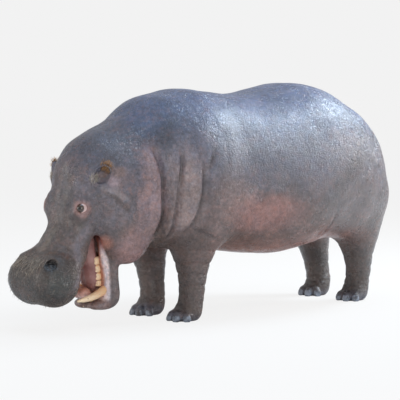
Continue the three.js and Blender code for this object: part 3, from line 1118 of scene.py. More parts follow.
# The hide's colours, from the back and belly to the head and the feet.
TONES = (
    Zone((0.35, -0.10, 0.42), (0.95, 0.60, 0.20), (0.420, 0.175, 0.130), 0.88),
    Zone((0.05, -0.52, 0.60), (0.55, 0.35, 0.25), (0.165, 0.096, 0.078), 0.75),
    Zone((-0.35, -0.51, 0.76), (0.22, 0.25, 0.26), (0.230, 0.145, 0.128), 0.70),
    Zone((-0.03, -0.53, 0.69), (0.34, 0.25, 0.15), (0.420, 0.190, 0.158), 0.75),
    Zone((0.75, -0.45, 0.85), (0.36, 0.32, 0.36), (0.235, 0.200, 0.198), 0.55),
    Streak(FLANK_SHADE, 0.085, (0.120, 0.108, 0.112), 0.45),
    Zone((1.18, -0.25, 1.02), (0.30, 0.42, 0.42), (0.250, 0.218, 0.215), 0.60),
    Zone((-0.66, -0.42, 0.82), (0.14, 0.22, 0.36), (0.430, 0.325, 0.310), 0.78),
    Zone((-0.56, -0.42, 1.22), (0.17, 0.25, 0.20), (0.225, 0.232, 0.310), 0.60),
    Zone((-0.82, -0.25, 1.32), (0.27, 0.36, 0.26), (0.034, 0.030, 0.038), 0.88),
    Zone((-0.82, 0.00, 1.36), (0.16, 0.20, 0.10), (0.050, 0.040, 0.038), 0.60),
    Zone(HEAD.place(0.10, -0.06, 0.26), (0.26, 0.30, 0.18), (0.085, 0.085, 0.115), 0.80),
    Zone(HEAD.place(0.24, -0.05, 0.27), (0.14, 0.20, 0.12), (0.150, 0.122, 0.137), 0.70),
    Zone(HEAD.place(0.42, -0.02, 0.19), (0.12, 0.15, 0.09), (0.105, 0.092, 0.100), 0.80),
    Zone(HEAD.place(0.30, -0.26, -0.02), (0.20, 0.14, 0.22), (0.205, 0.182, 0.206), 0.65),
    Zone((-0.87, -0.34, 0.86), (0.11, 0.16, 0.36), (0.400, 0.275, 0.285), 0.85),
    Zone((-0.93, -0.25, 0.52), (0.16, 0.18, 0.17), (0.410, 0.240, 0.230), 0.85),
    Zone((-1.04, -0.27, 0.95), (0.07, 0.11, 0.08), (0.300, 0.215, 0.225), 0.75),
    Zone(HEAD.place(0.44, -0.21, -0.01), (0.15, 0.13, 0.14), (0.165, 0.145, 0.160), 0.65),
    Zone(HEAD.place(0.60, -0.05, 0.13), (0.20, 0.24, 0.14), (0.122, 0.102, 0.100), 0.85),
    Zone(HEAD.place(0.92, -0.07, 0.03), (0.25, 0.34, 0.25), (0.034, 0.032, 0.028), 0.94),
    Streak(CHIN_EDGE, 0.055, (0.285, 0.250, 0.275), 0.75),
    Streak(UPPER_LIP, 0.036, (0.150, 0.072, 0.046), 0.85),
    Zone(HEAD.place(0.86, -0.03, 0.17), (0.09, 0.12, 0.06), (0.150, 0.120, 0.095), 0.60),
    Zone(JAW.place(0.36, -0.14, -0.02), (0.10, 0.14, 0.20), (0.250, 0.205, 0.205), 0.70),
    Zone((-0.47, -0.22, 0.22), (0.27, 0.30, 0.38), (0.146, 0.112, 0.100), 0.88),
    Zone((1.10, -0.24, 0.22), (0.34, 0.30, 0.42), (0.086, 0.067, 0.057), 0.88),
    Zone((-0.55, -0.19, 0.11), (0.09, 0.12, 0.05), (0.060, 0.048, 0.045), 0.75),
    Zone((1.03, -0.19, 0.11), (0.09, 0.12, 0.05), (0.055, 0.045, 0.042), 0.75),
    Zone((-0.52, -0.19, 0.02), (0.26, 0.20, 0.07), (0.140, 0.155, 0.205), 0.80),
    Zone((1.07, -0.19, 0.02), (0.26, 0.20, 0.07), (0.125, 0.135, 0.175), 0.80),
)

# Small marks that stay exactly in their places.
MARKS = (
    Zone((-1.116, -0.285, 0.935), (0.045, 0.050, 0.040), (0.560, 0.400, 0.420), 0.80),
    Zone((-1.080, -0.295, 0.995), (0.060, 0.050, 0.045), (0.340, 0.205, 0.165), 0.65),
    # Painted highlight along the ridge of the nose.
    Streak(NOSE_RIDGE_HIGHLIGHT, 0.036, (0.235, 0.205, 0.198), 0.65),
    Streak(NOSE_TIP, 0.045, (0.250, 0.205, 0.165), 0.55),
    Zone((-1.400, -0.085, 0.600), (0.060, 0.040, 0.060), (0.085, 0.066, 0.060), 0.60),
    # Painted shade in the cheek fold, and painted highlight on its roll.
    Streak(CHEEK_FOLD_SHADE, 0.028, (0.085, 0.064, 0.060), 0.80),
    Streak(CHEEK_FOLD_HIGHLIGHT, 0.024, (0.340, 0.300, 0.315), 0.70),
    # Painted shade in the hollow between the brow and the eye.
    Zone(HEAD.place(0.30, -0.075, 0.222), (0.075, 0.045, 0.060), (0.120, 0.090, 0.088), 0.65),
    Zone(JAW.place(0.405, -0.114, -0.060), (0.035, 0.035, 0.035), (0.700, 0.270, 0.130), 0.85),
    Zone((-1.192, -0.235, 0.847), (0.024, 0.024, 0.024), (0.110, 0.080, 0.068), 0.60),
    Zone((-1.283, -0.190, 0.719), (0.030, 0.034, 0.036), (0.350, 0.255, 0.235), 0.60),
    Zone((-1.277, -0.171, 0.661), (0.030, 0.030, 0.030), (0.105, 0.095, 0.080), 0.50),
    Zone((-1.602, -0.080, 0.312), (0.050, 0.070, 0.055), (0.034, 0.028, 0.025), 0.70),
    Zone((-1.510, -0.253, 0.320), (0.110, 0.080, 0.095), (0.072, 0.080, 0.072), 0.55),
    Zone(EYE.centre, (0.058, 0.058, 0.058), (0.470, 0.270, 0.245), 0.90, 0.85),
    Streak(tuple(EAR.axes.place(*place) for place in EAR_RIM), 0.013, (0.560, 0.500, 0.490), 0.85),
    Zone(EAR.axes.place(0.004, 0.0, 0.004), (0.052, 0.042, 0.030), (0.150, 0.105, 0.098), 0.80),
    Zone(EAR.axes.place(0.030, 0.0, 0.004), (0.040, 0.030, 0.030), (0.110, 0.062, 0.042), 0.70),
    Zone((-1.105, -0.185, 0.553), (0.048, 0.070, 0.060), (0.680, 0.320, 0.245), 0.90),
    # Painted shade: the nostril's opening painted near black.
    Zone(HEAD.place(0.860, -0.177, 0.134), (0.052, 0.048, 0.046), (0.016, 0.016, 0.019), 0.97, 0.70),
)

# Pink freckles, wetness and coarse grain.
TRAITS = (
    Zone((0.35, -0.20, 0.48), (1.00, 0.60, 0.30), (0.55, 0.15, 0.60), 0.90),
    Zone((-0.10, -0.50, 0.66), (0.50, 0.30, 0.28), (0.90, 0.20, 0.70), 0.80),
    Zone((-0.88, -0.30, 0.76), (0.18, 0.22, 0.46), (0.85, 0.25, 0.60), 0.90),
    Zone(HEAD.place(0.90, -0.08, 0.03), (0.28, 0.34, 0.26), (0.10, 0.45, 0.55), 0.90),
    Zone(EYE.centre, (0.05, 0.05, 0.05), (0.50, 0.75, 0.20), 0.90),
    Zone(HEAD.place(0.862, -0.176, 0.132), (0.07, 0.07, 0.07), (0.0, 1.0, 0.2), 0.95, 0.60),
    Zone((-0.47, -0.22, 0.20), (0.30, 0.30, 0.38), (0.15, 0.10, 0.90), 0.85),
    Zone((1.06, -0.24, 0.20), (0.34, 0.30, 0.40), (0.10, 0.10, 0.90), 0.85),
)

# Level rings round the legs, upright wrinkles, and wrinkles across the face.
WRINKLES = (
    Zone((-0.47, -0.24, 0.30), (0.30, 0.30, 0.30), (1.0, 0.0, 0.1), 1.0),
    Zone((1.06, -0.26, 0.28), (0.34, 0.32, 0.28), (1.0, 0.0, 0.1), 1.0),
    Zone((-0.66, -0.42, 0.92), (0.26, 0.30, 0.50), (0.0, 1.0, 0.1), 1.0),
    Zone((0.98, -0.44, 0.70), (0.24, 0.26, 0.30), (0.2, 0.6, 0.1), 0.8),
    Zone(HEAD.place(0.36, -0.20, 0.06), (0.22, 0.20, 0.20), (0.0, 0.2, 1.0), 0.9),
    Zone(HEAD.place(0.72, -0.10, 0.08), (0.18, 0.24, 0.16), (0.1, 0.0, 1.0), 0.9),
)


@dataclass(frozen=True)
class MouthColours:
    """The colours inside the mouth, from its edge to its depths, where they darken into painted shade, and
    where its corner is.
    """

    lip: Colour = (0.90, 0.78, 0.78)
    gum: Colour = (0.46, 0.200, 0.130)
    corner: Colour = (0.52, 0.190, 0.140)
    # Painted shade: a dark red laid deep in the mouth, towards the throat.
    throat: Colour = (0.20, 0.055, 0.045)
    chin: Colour = (0.150, 0.088, 0.074)
    corner_place: Place = (-1.12, -0.20, 0.56)
    hollows: tuple[Feature, ...] = mouth_hollows()

    def share(self, points: Array) -> Array:
        """How far each point is inside the mouth, from 0 to 1."""
        near = np.min([feature.form.distance(points) for feature in self.hollows], axis=0)
        along, out, up = JAW.local(points).T
        strip = ease(along, 0.02, 0.12) * ease(up, -0.045, -0.028)
        strip *= (1.0 - ease(-out, 0.152, 0.174)) * (1.0 - ease(up, 0.09, 0.12))
        return np.maximum(1.0 - ease(near, 0.006, 0.024), strip)

    def tone(self, points: Array) -> Array:
        """The colour that the mouth has at each point."""
        along, out, up = JAW.local(points).T
        lip = ease(along, 0.34, 0.46) * ease(up, -0.06, 0.0) + ease(np.abs(out), 0.105, 0.135)
        corner = 1.0 - ease(row_lengths(points - np.array(self.corner_place)), 0.03, 0.12)
        # Painted shade, growing towards the back of the mouth near its middle.
        deep = (1.0 - ease(along, -0.02, 0.14)) * ease(points[:, 1], -0.20, -0.12)
        tone = laid(np.full((len(points), 3), self.gum), np.minimum(lip, 1.0), self.lip)
        tone = laid(tone, 0.9 * ease(along, 0.400, 0.440), self.chin)
        return laid(laid(tone, corner, self.corner), deep, self.throat)


@dataclass(frozen=True)
class Rings:
    """Level wrinkles round a leg, deep enough to be shaped.

    Attributes:
        leg: The leg's form.
        heights: Each wrinkle's height.
        depths: How deep each is.
        widths: Half of each one's width.
    """

    leg: Loft
    heights: tuple[float, ...]
    depths: tuple[float, ...]
    widths: tuple[float, ...]

    def push(self, points: Array) -> Array:
        """How far the skin moves in at each point of the left side."""
        x = points[:, 0] - self.leg.axes.origin[0]
        near = (1.0 - ease(np.abs(x), 0.22, 0.34)) * (1.0 - ease(points[:, 2], 0.52, 0.60))
        wave = 0.014 * np.sin(9.0 * x + 2.0) + 0.010 * lattice_noise(points, 0.09, 5)
        total = np.zeros(len(points))
        for number, (height, depth, width) in enumerate(zip(self.heights, self.depths, self.widths)):
            part = 0.35 + 0.65 * ease(lattice_noise(points + 7.0 * number, (0.16, 0.16, 0.4), 11), -0.5, 0.4)
            total += depth * part * np.exp(-(((points[:, 2] - height - wave) / width) ** 2))
        return near * total


FORE_RINGS = Rings(
    FORELEG_FORM,
    (0.105, 0.155, 0.215, 0.290, 0.360, 0.450),
    (0.006, 0.005, 0.007, 0.006, 0.007, 0.006),
    (0.009, 0.009, 0.010, 0.009, 0.010, 0.010),
)
HIND_RINGS = Rings(
    HINDLEG_FORM,
    (0.100, 0.150, 0.230, 0.310, 0.400),
    (0.006, 0.006, 0.006, 0.007, 0.006),
    (0.009, 0.010, 0.010, 0.010, 0.010),
)
FACE_WRINKLES = WRINKLES[-2:]


@dataclass(frozen=True)
class Relief:
    """Everything on the skin that is finer than its forms and coarser than its grain."""

    rings: tuple[Rings, ...] = (FORE_RINGS, HIND_RINGS)

    def push(self, points: Array) -> Array:
        """How far the skin moves in at each point."""
        left = leftwards(points)
        total = sum(ring.push(left) for ring in self.rings)
        clear = ease(row_lengths(left - np.array(EYE.centre)), 0.045, 0.09)
        clear *= ease(points[:, 2], 0.01, 0.05)
        x, z = points[:, 0], points[:, 2]
        loose = ease(lattice_noise(points, 0.30, 3), -0.3, 0.5)
        neck = np.exp(-(((x + 0.62) / 0.24) ** 2)) * ease(z, 0.5, 0.7) * (1.0 - ease(z, 1.25, 1.42))
        upright = lattice_noise(points, (0.035, 0.12, 0.22), 21)
        total = total + neck * 0.006 * ease(upright, 0.0, 0.7)
        face = painted(left, np.zeros((len(points), 3)), FACE_WRINKLES)[:, 2]
        creased = 0.0060 * ease(lattice_noise(points, (0.030, 0.06, 0.022), 31), 0.0, 0.7)
        creased += 0.0050 * lattice_noise(points, (0.07, 0.09, 0.05), 33)
        lumps = 0.0035 * lattice_noise(points, 0.11, 41) + 0.0010 * lattice_noise(points, 0.042, 43)
        return total + clear * (face * creased + lumps * (0.6 + 0.4 * loose))


# ---- Node trees ----


@dataclass(frozen=True)
class Board:
    """A node tree while its nodes are put in and wired."""

    tree: NodeTree

    def add(self, kind: str, sockets: dict | None = None, **settings: object) -> Node:
        """Puts a node in.

        Args:
            kind: The node's type.
            sockets: What goes into its inputs, by name or number: a value or another socket.
            settings: The node's own settings.

        Returns:
            The node.
        """
        node = self.tree.nodes.new(kind)
        for name, value in settings.items():
            setattr(node, name, value)
        for name, value in (sockets or {}).items():
            if isinstance(value, NodeSocket):
                self.tree.links.new(value, node.inputs[name])
            else:
                node.inputs[name].default_value = value
        return node

    def math(self, operation: str, *values: object) -> NodeSocket:
        """The outcome of a sum on numbers or sockets, taken two at a time."""

        def two(first: object, second: object) -> NodeSocket:
            """The outcome on two values."""
            return self.add("ShaderNodeMath", {0: first, 1: second}, operation=operation).outputs[0]

        return reduce(two, values)

    def plus(self, *values: object) -> NodeSocket:
        """The sum of numbers or sockets."""
        return self.math("ADD", *values)

    def less(self, *values: object) -> NodeSocket:
        """The first of some numbers or sockets less the others."""
        return self.math("SUBTRACT", *values)

    def times(self, *values: object) -> NodeSocket:
        """The product of numbers or sockets."""
        return self.math("MULTIPLY", *values)

    def most(self, *values: object) -> NodeSocket:
        """The greatest of numbers or sockets."""
        return self.math("MAXIMUM", *values)

    def span(
        self, value: object, low: float, high: float, first: float = 0.0, last: float = 1.0
    ) -> NodeSocket:
        """A value carried smoothly from low..high to first..last."""
        sockets = {"Value": value, "From Min": low, "From Max": high, "To Min": first, "To Max": last}
        return self.add("ShaderNodeMapRange", sockets, interpolation_type="SMOOTHSTEP").outputs[0]

    def mix(self, share: object, first: object, second: object, blend: str = "MIX") -> NodeSocket:
        """Two colours mixed by a share from 0 to 1."""
        sockets = {0: share, 6: first, 7: second}
        return self.add("ShaderNodeMix", sockets, data_type="RGBA", blend_type=blend).outputs[2]

    def noise(self, place: object, scale: float, detail: float = 3.0, rough: float = 0.55) -> NodeSocket:
        """Soft noise from 0 to 1."""
        sockets = {"Vector": place, "Scale": scale, "Detail": detail, "Roughness": rough}
        return self.add("ShaderNodeTexNoise", sockets).outputs[0]

    def seams(self, place: object, scale: float) -> NodeSocket:
        """Distance to the edges of a net of cells."""
        sockets = {"Vector": place, "Scale": scale}
        return self.add("ShaderNodeTexVoronoi", sockets, feature="DISTANCE_TO_EDGE").outputs[0]

    def vector(self, operation: str, first: object, second: object) -> NodeSocket:
        """The outcome of a sum on two vectors."""
        return self.add("ShaderNodeVectorMath", {0: first, 1: second}, operation=operation).outputs[0]

    def scaled(self, vector: object, size: object) -> NodeSocket:
        """A vector times a number."""
        return self.add("ShaderNodeVectorMath", {0: vector, 3: size}, operation="SCALE").outputs[0]

    def combined(self, first: object, second: object = 0.0) -> NodeSocket:
        """A vector from two numbers."""
        return self.add("ShaderNodeCombineXYZ", {0: first, 1: second}).outputs[0]

    def attribute(self, name: str) -> NodeSocket:
        """One of the mesh's colour attributes."""
        return self.add("ShaderNodeAttribute", attribute_name=name).outputs["Color"]

    def channels(self, name: str) -> tuple[NodeSocket, ...]:
        """The three values of one of the mesh's colour attributes."""
        return tuple(self.add("ShaderNodeSeparateColor", {0: self.attribute(name)}).outputs[:3])


def rgba(colour: Colour) -> tuple[float, float, float, float]:
    """A colour with full cover."""
    return (*colour, 1.0)


@dataclass(frozen=True)
class Finish:
    """A procedural material.

    Attributes:
        name: The material's name.
        roughness: Of its surface.
        specular: How strongly its surface mirrors.
        coat: Weight of the wet layer on it.
        coat_roughness: Of that layer.
        flesh: How much light passes under the surface.
    """

    name: str
    roughness: float = 0.5
    specular: float = 0.5
    coat: float = 0.0
    coat_roughness: float = 0.1
    flesh: float = 0.0

    def material(self) -> Material:
        """The material, made once."""
        made = bpy.data.materials.get(self.name)
        if made is not None:
            return made
        made = bpy.data.materials.new(self.name)
        made.use_nodes = True
        made.node_tree.nodes.clear()
        board = Board(made.node_tree)
        place = board.add("ShaderNodeTexCoord").outputs["Object"]
        colour, roughness, height, depth = self.surface(board, place)
        bump = board.add("ShaderNodeBump", {"Height": height, "Distance": depth, "Strength": 1.0})
        sockets = {
            "Base Color": colour,
            "Roughness": roughness,
            "Normal": bump.outputs[0],
            "Specular IOR Level": self.specular,
            "Coat Weight": self.coat,
            "Coat Roughness": self.coat_roughness,
            "Subsurface Weight": self.flesh,
            "Subsurface Radius": (0.9, 0.35, 0.22),
            "Subsurface Scale": 0.012,
        }
        shader = board.add("ShaderNodeBsdfPrincipled", sockets)
        board.add("ShaderNodeOutputMaterial", {"Surface": shader.outputs[0]})
        return made

    def surface(self, board: Board, place: NodeSocket) -> Surface:
        """The finish's own nodes.

        Args:
            board: The material's tree.
            place: Where the surface is, in metres.

        Returns:
            Colour, roughness, height from 0 to 1, and how far that height reaches in metres.
        """
        raise NotImplementedError


@dataclass(frozen=True)
class HideFinish(Finish):
    """Bare, faintly wet hide: a net of fine cracks, small grains and long wrinkles.

    Attributes:
        freckle: Colour of the pink freckles.
        crack: How far cracks darken.
        grain: Grains in a metre.
        relief: Height of the grain in metres.
        dark_cracks_and_crease_shade: Colour laid into the darker cracks and wrinkles, and painted shade along
            the crease of each fold.
        warm: Tint of the warmer blotches.
        cool: Tint of the cooler ones.
    """

    name: str = "bare_hide"
    roughness: float = 0.30
    specular: float = 0.70
    flesh: float = 0.04
    freckle: Colour = (0.43, 0.235, 0.205)
    crack: float = 0.30
    grain: float = 78.0
    relief: float = 0.0050
    dark_cracks_and_crease_shade: Colour = (0.030, 0.020, 0.018)
    warm: Colour = (1.05, 0.99, 0.95)
    cool: Colour = (0.95, 1.0, 1.07)

    def surface(self, board: Board, place: NodeSocket) -> Surface:
        """Colour from the painted attributes, broken up by freckles and darkened cracks and wrinkles, with
        painted shade along the crease of each fold.
        """
        pink, wet, coarse = board.channels("traits")
        rings, upright, face = board.channels("wrinkles")
        # The crease value carries the painted shade of the folds.
        lining, crease, _ = board.channels("depth")
        bare = board.less(1.0, lining)
        bend = board.add("ShaderNodeTexNoise", {"Vector": place, "Scale": 24.0, "Detail": 2.0}).outputs[1]
        warp = board.vector("ADD", place, board.scaled(bend, 0.02))
        cracks = board.span(board.seams(warp, self.grain), 0.0, 0.16, 1.0, 0.0)
        plates = board.span(board.seams(warp, self.grain * 0.36), 0.0, 0.09, 1.0, 0.0)
        grains = board.noise(place, self.grain * 0.72, 3.0, 0.6)
        patch = board.noise(place, 5.0, 5.0, 0.6)
        fine = board.noise(place, 46.0, 4.0, 0.65)

        def lines(stretch: Place, share: NodeSocket) -> NodeSocket:
            """Wrinkles across the longest axis of a stretched noise."""
            wave = board.noise(board.vector("MULTIPLY", warp, stretch), 1.0, 3.0, 0.6)
            return board.times(board.span(wave, 0.50, 0.70), share)

        level, up = lines((7.0, 7.0, 52.0), rings), lines((46.0, 18.0, 8.0), upright)
        wrinkled = board.most(level, up, lines((38.0, 16.0, 30.0), face))
        broad, close = board.span(patch, 0.25, 0.75, 0.80, 1.20), board.span(fine, 0.25, 0.75, 0.68, 1.34)
        blotch = board.span(board.noise(place, 17.0, 4.0, 0.65), 0.35, 0.65)
        tint = board.mix(blotch, rgba(self.warm), rgba(self.cool))
        shaded = board.scaled(board.attribute("tone"), board.times(broad, close))
        colour = board.vector("MULTIPLY", shaded, tint)
        spots = board.plus(board.noise(place, 27.0, 5.0, 0.72), board.times(patch, 0.35))
        spots = board.times(board.span(spots, 0.66, 0.84), pink, 0.62)
        colour = board.mix(spots, colour, rgba(self.freckle))
        # Cracks, plates and wrinkles are darkened, and the crease of each fold takes painted shade.
        dark = board.most(board.times(cracks, 0.60), board.times(plates, 0.30), wrinkled)
        dark = board.most(board.times(dark, bare, self.crack), board.times(crease, 0.75))
        colour = board.mix(dark, colour, rgba(self.dark_cracks_and_crease_shade))

        uneven = board.noise(place, 14.0, 4.0, 0.6)
        dry = board.span(uneven, 0.3, 0.7, self.roughness - 0.05, self.roughness + 0.08)
        roughness = board.less(dry, board.times(wet, 0.16), board.times(lining, 0.12))
        height = board.less(
            board.times(grains, 0.62),
            board.times(cracks, board.span(coarse, 0.0, 1.0, 0.14, 0.28)),
            board.times(plates, 0.10),
            board.times(wrinkled, 0.45),
        )
        height = board.times(height, board.less(1.0, board.times(lining, 0.65)))
        return colour, roughness, board.plus(height, board.times(fine, 0.42)), self.relief


@dataclass(frozen=True)
class TongueFinish(Finish):
    """Wet tongue, mauve-brown, with small bumps."""

    name: str = "wet_tongue"
    roughness: float = 0.33
    flesh: float = 0.10
    deep: Colour = (0.260, 0.110, 0.100)
    pale: Colour = (0.430, 0.235, 0.215)

    def surface(self, board: Board, place: NodeSocket) -> Surface:
        """Blotches over a field of bumps."""
        blotch = board.span(board.noise(place, 16.0, 5.0, 0.6), 0.3, 0.7)
        bumps = board.add("ShaderNodeTexVoronoi", {"Vector": place, "Scale": 170.0}, feature="F1").outputs[0]
        colour = board.mix(blotch, rgba(self.deep), rgba(self.pale))
        return colour, self.roughness, board.less(1.0, bumps), 0.0022


@dataclass(frozen=True)
class IvoryFinish(Finish):
    """Stained ivory, brown at the gum and cleaner towards the tip, grooved along its length.

    Attributes:
        clean: Colour near the tip.
        stain: Colour near the gum.
        spot: Colour of the darkest stains.
    """

    name: str = "stained_ivory"
    roughness: float = 0.36
    flesh: float = 0.06
    clean: Colour = (0.980, 0.750, 0.500)
    stain: Colour = (0.860, 0.520, 0.280)
    spot: Colour = (0.165, 0.085, 0.050)

    def surface(self, board: Board, place: NodeSocket) -> Surface:
        """Stain by the run along the tooth, with grooves and spots."""
        run, turn, _ = board.channels("run")
        grooves = board.noise(board.combined(board.times(run, 2.0), board.times(turn, 60.0)), 1.0, 3.0, 0.6)
        cloud = board.noise(place, 34.0, 5.0, 0.65)
        clean = board.plus(run, board.times(board.less(cloud, 0.5), 0.9))
        colour = board.mix(board.span(clean, 0.15, 0.75), rgba(self.stain), rgba(self.clean))
        spots = board.span(board.plus(cloud, board.times(grooves, 0.25)), 0.70, 0.84)
        colour = board.mix(board.times(spots, 0.6), colour, rgba(self.spot))
        roughness = board.span(cloud, 0.3, 0.7, self.roughness - 0.06, self.roughness + 0.10)
        return colour, roughness, board.plus(board.times(grooves, 0.6), board.times(cloud, 0.4)), 0.0018


@dataclass(frozen=True)
class NailFinish(Finish):
    """Horn, blue-grey where it is worn shiny and brown in its grooves."""

    name: str = "horn_nail"
    roughness: float = 0.34
    dark: Colour = (0.070, 0.068, 0.078)
    worn: Colour = (0.270, 0.310, 0.380)

    def surface(self, board: Board, place: NodeSocket) -> Surface:
        """Upright grooves, and worn patches."""
        grooves = board.noise(board.vector("MULTIPLY", place, (150.0, 150.0, 9.0)), 1.0, 3.0, 0.6)
        worn = board.noise(place, 30.0, 4.0, 0.6)
        colour = board.mix(board.span(worn, 0.32, 0.62), rgba(self.dark), rgba(self.worn))
        colour = board.mix(board.span(grooves, 0.52, 0.72, 0.0, 0.5), colour, rgba(self.dark))
        return colour, board.span(worn, 0.3, 0.7, 0.48, self.roughness - 0.06), grooves, 0.0015


@dataclass(frozen=True)
class EyeFinish(Finish):
    """A wet eye: a wide dark pupil, a brown iris and a pinkish white."""

    name: str = "wet_eye"
    roughness: float = 0.12
    coat: float = 1.0
    coat_roughness: float = 0.03
    pupil: Colour = (0.006, 0.005, 0.006)
    iris: Colour = (0.090, 0.040, 0.018)
    rim: Colour = (0.018, 0.010, 0.008)
    white: Colour = (0.640, 0.460, 0.430)
    vein: Colour = (0.30, 0.10, 0.09)

    def surface(self, board: Board, place: NodeSocket) -> Surface:
        """Rings of colour by the turn away from the eye's gaze."""
        ring, turn, flat = board.channels("ring")
        rays = board.noise(board.combined(board.times(turn, 80.0)), 1.0)
        iris = board.mix(board.span(rays, 0.3, 0.7), rgba(self.rim), rgba(self.iris))
        veins = board.span(board.noise(place, 160.0, 5.0, 0.7), 0.52, 0.66, 0.0, 0.6)
        white = board.mix(veins, rgba(self.white), rgba(self.vein))
        colour = board.mix(board.span(flat, 0.085, 0.105), rgba(self.pupil), iris)
        colour = board.mix(board.span(ring, 0.155, 0.185), colour, rgba(self.rim))
        colour = board.mix(board.span(ring, 0.190, 0.225), colour, white)
        return colour, self.roughness, veins, 0.0002


@dataclass(frozen=True)
class BristleFinish(Finish):
    """Hair of one colour family, darker at its roots."""

    root: Colour = (0.10, 0.06, 0.04)
    tip: Colour = (0.45, 0.36, 0.28)

    def surface(self, board: Board, place: NodeSocket) -> Surface:
        """Colour along each hair."""
        along, _, _ = board.channels("blade")
        varied = board.noise(place, 55.0, 2.0)
        colour = board.mix(along, rgba(self.root), rgba(self.tip))
        colour = board.mix(board.span(varied, 0.35, 0.65, 0.0, 0.35), colour, rgba(self.root))
        return colour, self.roughness, varied, 0.0003


HIDE = HideFinish()
TONGUE = TongueFinish()
IVORY = IvoryFinish()
NAIL = NailFinish()
WET_EYE = EyeFinish()
MUZZLE_HAIR = BristleFinish("muzzle_bristles", 0.45, root=(0.16, 0.12, 0.09), tip=(0.42, 0.36, 0.29))
PALE_HAIR = BristleFinish("pale_hair", 0.50, root=(0.36, 0.30, 0.25), tip=(0.72, 0.64, 0.54))
EAR_HAIR = BristleFinish("ear_hair", 0.55, root=(0.16, 0.075, 0.035), tip=(0.66, 0.36, 0.15))
TAIL_HAIR = BristleFinish("tail_bristles", 0.45, root=(0.020, 0.016, 0.015), tip=(0.055, 0.042, 0.034))


# ---- Making pieces ----


def placed(name: str, data: ID) -> Object:
    """A new object in the scene."""
    made = bpy.data.objects.new(name, data)
    bpy.context.scene.collection.objects.link(made)
    return made


def tube(first: int, rings: int, sides: int) -> list[list[int]]:
    """The faces between rings of vertices, counted from a first one."""
    faces = []
    for start in range(first, first + (rings - 1) * sides, sides):
        for k in range(sides):
            n = (k + 1) % sides
            faces.append([start + k, start + n, start + sides + n, start + sides + k])
    return faces


def fan(tip: int, first: int, sides: int) -> list[list[int]]:
    """The triangles between a tip and a ring of vertices."""
    return [[tip, first + (k + 1) % sides, first + k] for k in range(sides)]


@dataclass
class Sheet:
    """A closed mesh on its way to being a piece.

    Attributes:
        vertices: Places in the animal's frame.
        faces: The vertices of each face.
        colours: Values at each vertex, three for each named attribute.
    """

    vertices: Array
    faces: Sequence[Sequence[int]] | Array
    colours: dict[str, Array]

    @staticmethod
    def joined(sheets: Sequence["Sheet"]) -> "Sheet":
        """Several meshes as one."""
        start, faces = 0, []
        for sheet in sheets:
            faces += [[int(v) + start for v in face] for face in sheet.faces]
            start += len(sheet.vertices)
        names = sheets[0].colours
        colours = {name: np.concatenate([sheet.colours[name] for sheet in sheets]) for name in names}
        return Sheet(np.concatenate([sheet.vertices for sheet in sheets]), faces, colours)

    def mirrored(self) -> "Sheet":
        """The same mesh on the animal's other side."""
        faces = [list(face)[::-1] for face in self.faces]
        return Sheet(self.vertices * (1.0, -1.0, 1.0), faces, self.colours)

    def object(self, name: str, shift: float = SHIFT) -> Object:
        """Makes the mesh an object in the scene.

        Args:
            name: The object's name.
            shift: How far it moves along X.

        Returns:
            The object, with its own zero at the scene's.
        """
        mesh = bpy.data.meshes.new(name)
        vertices = self.vertices + np.array((shift, 0.0, 0.0))
        mesh.from_pydata(vertices.tolist(), [], [[int(vertex) for vertex in face] for face in self.faces])
        mesh.validate()
        for attribute, values in self.colours.items():
            layer = mesh.attributes.new(attribute, "FLOAT_COLOR", "POINT")
            filled = np.ones((len(vertices), 4), np.float32)
            filled[:, : values.shape[1]] = values
            layer.data.foreach_set("color", filled.ravel())
        mesh.shade_smooth()
        return placed(name, mesh)


@dataclass(frozen=True)
class Ball:
    """A ball's mesh with its poles along the forward direction of its axes.

    Attributes:
        axes: Where it stands.
        rings: Rings from pole to pole.
        sides: Sides of each ring.
    """

    axes: Axes
    rings: int = 24
    sides: int = 32

    def mesh(self, shape: Callable[[Array, Array], Array]) -> Sheet:
        """The ball's mesh.

        Args:
            shape: Gives the forward, out and up of each vertex from its angle to forward and its turn.

        Returns:
            The mesh, with the attribute "ring": the angle, the turn and a third value of zero.
        """
        angle = np.linspace(0.0, math.pi, self.rings + 1)[1:-1]
        turn = np.arange(self.sides) * 2.0 * math.pi / self.sides
        angles = np.concatenate([[0.0], np.repeat(angle, self.sides), [math.pi]])
        turns = np.concatenate([[0.0], np.tile(turn, self.rings - 1), [0.0]])
        faces = fan(0, 1, self.sides) + tube(1, self.rings - 1, self.sides)
        faces += fan(len(angles) - 1, 1 + (self.rings - 2) * self.sides, self.sides)
        vertices = np.array(self.axes.origin) + shape(angles, turns) @ self.axes.matrix.T
        ring = np.stack([angles / math.pi, turns / (2.0 * math.pi), np.zeros(len(angles))], -1)
        return Sheet(vertices, faces, {"ring": ring})


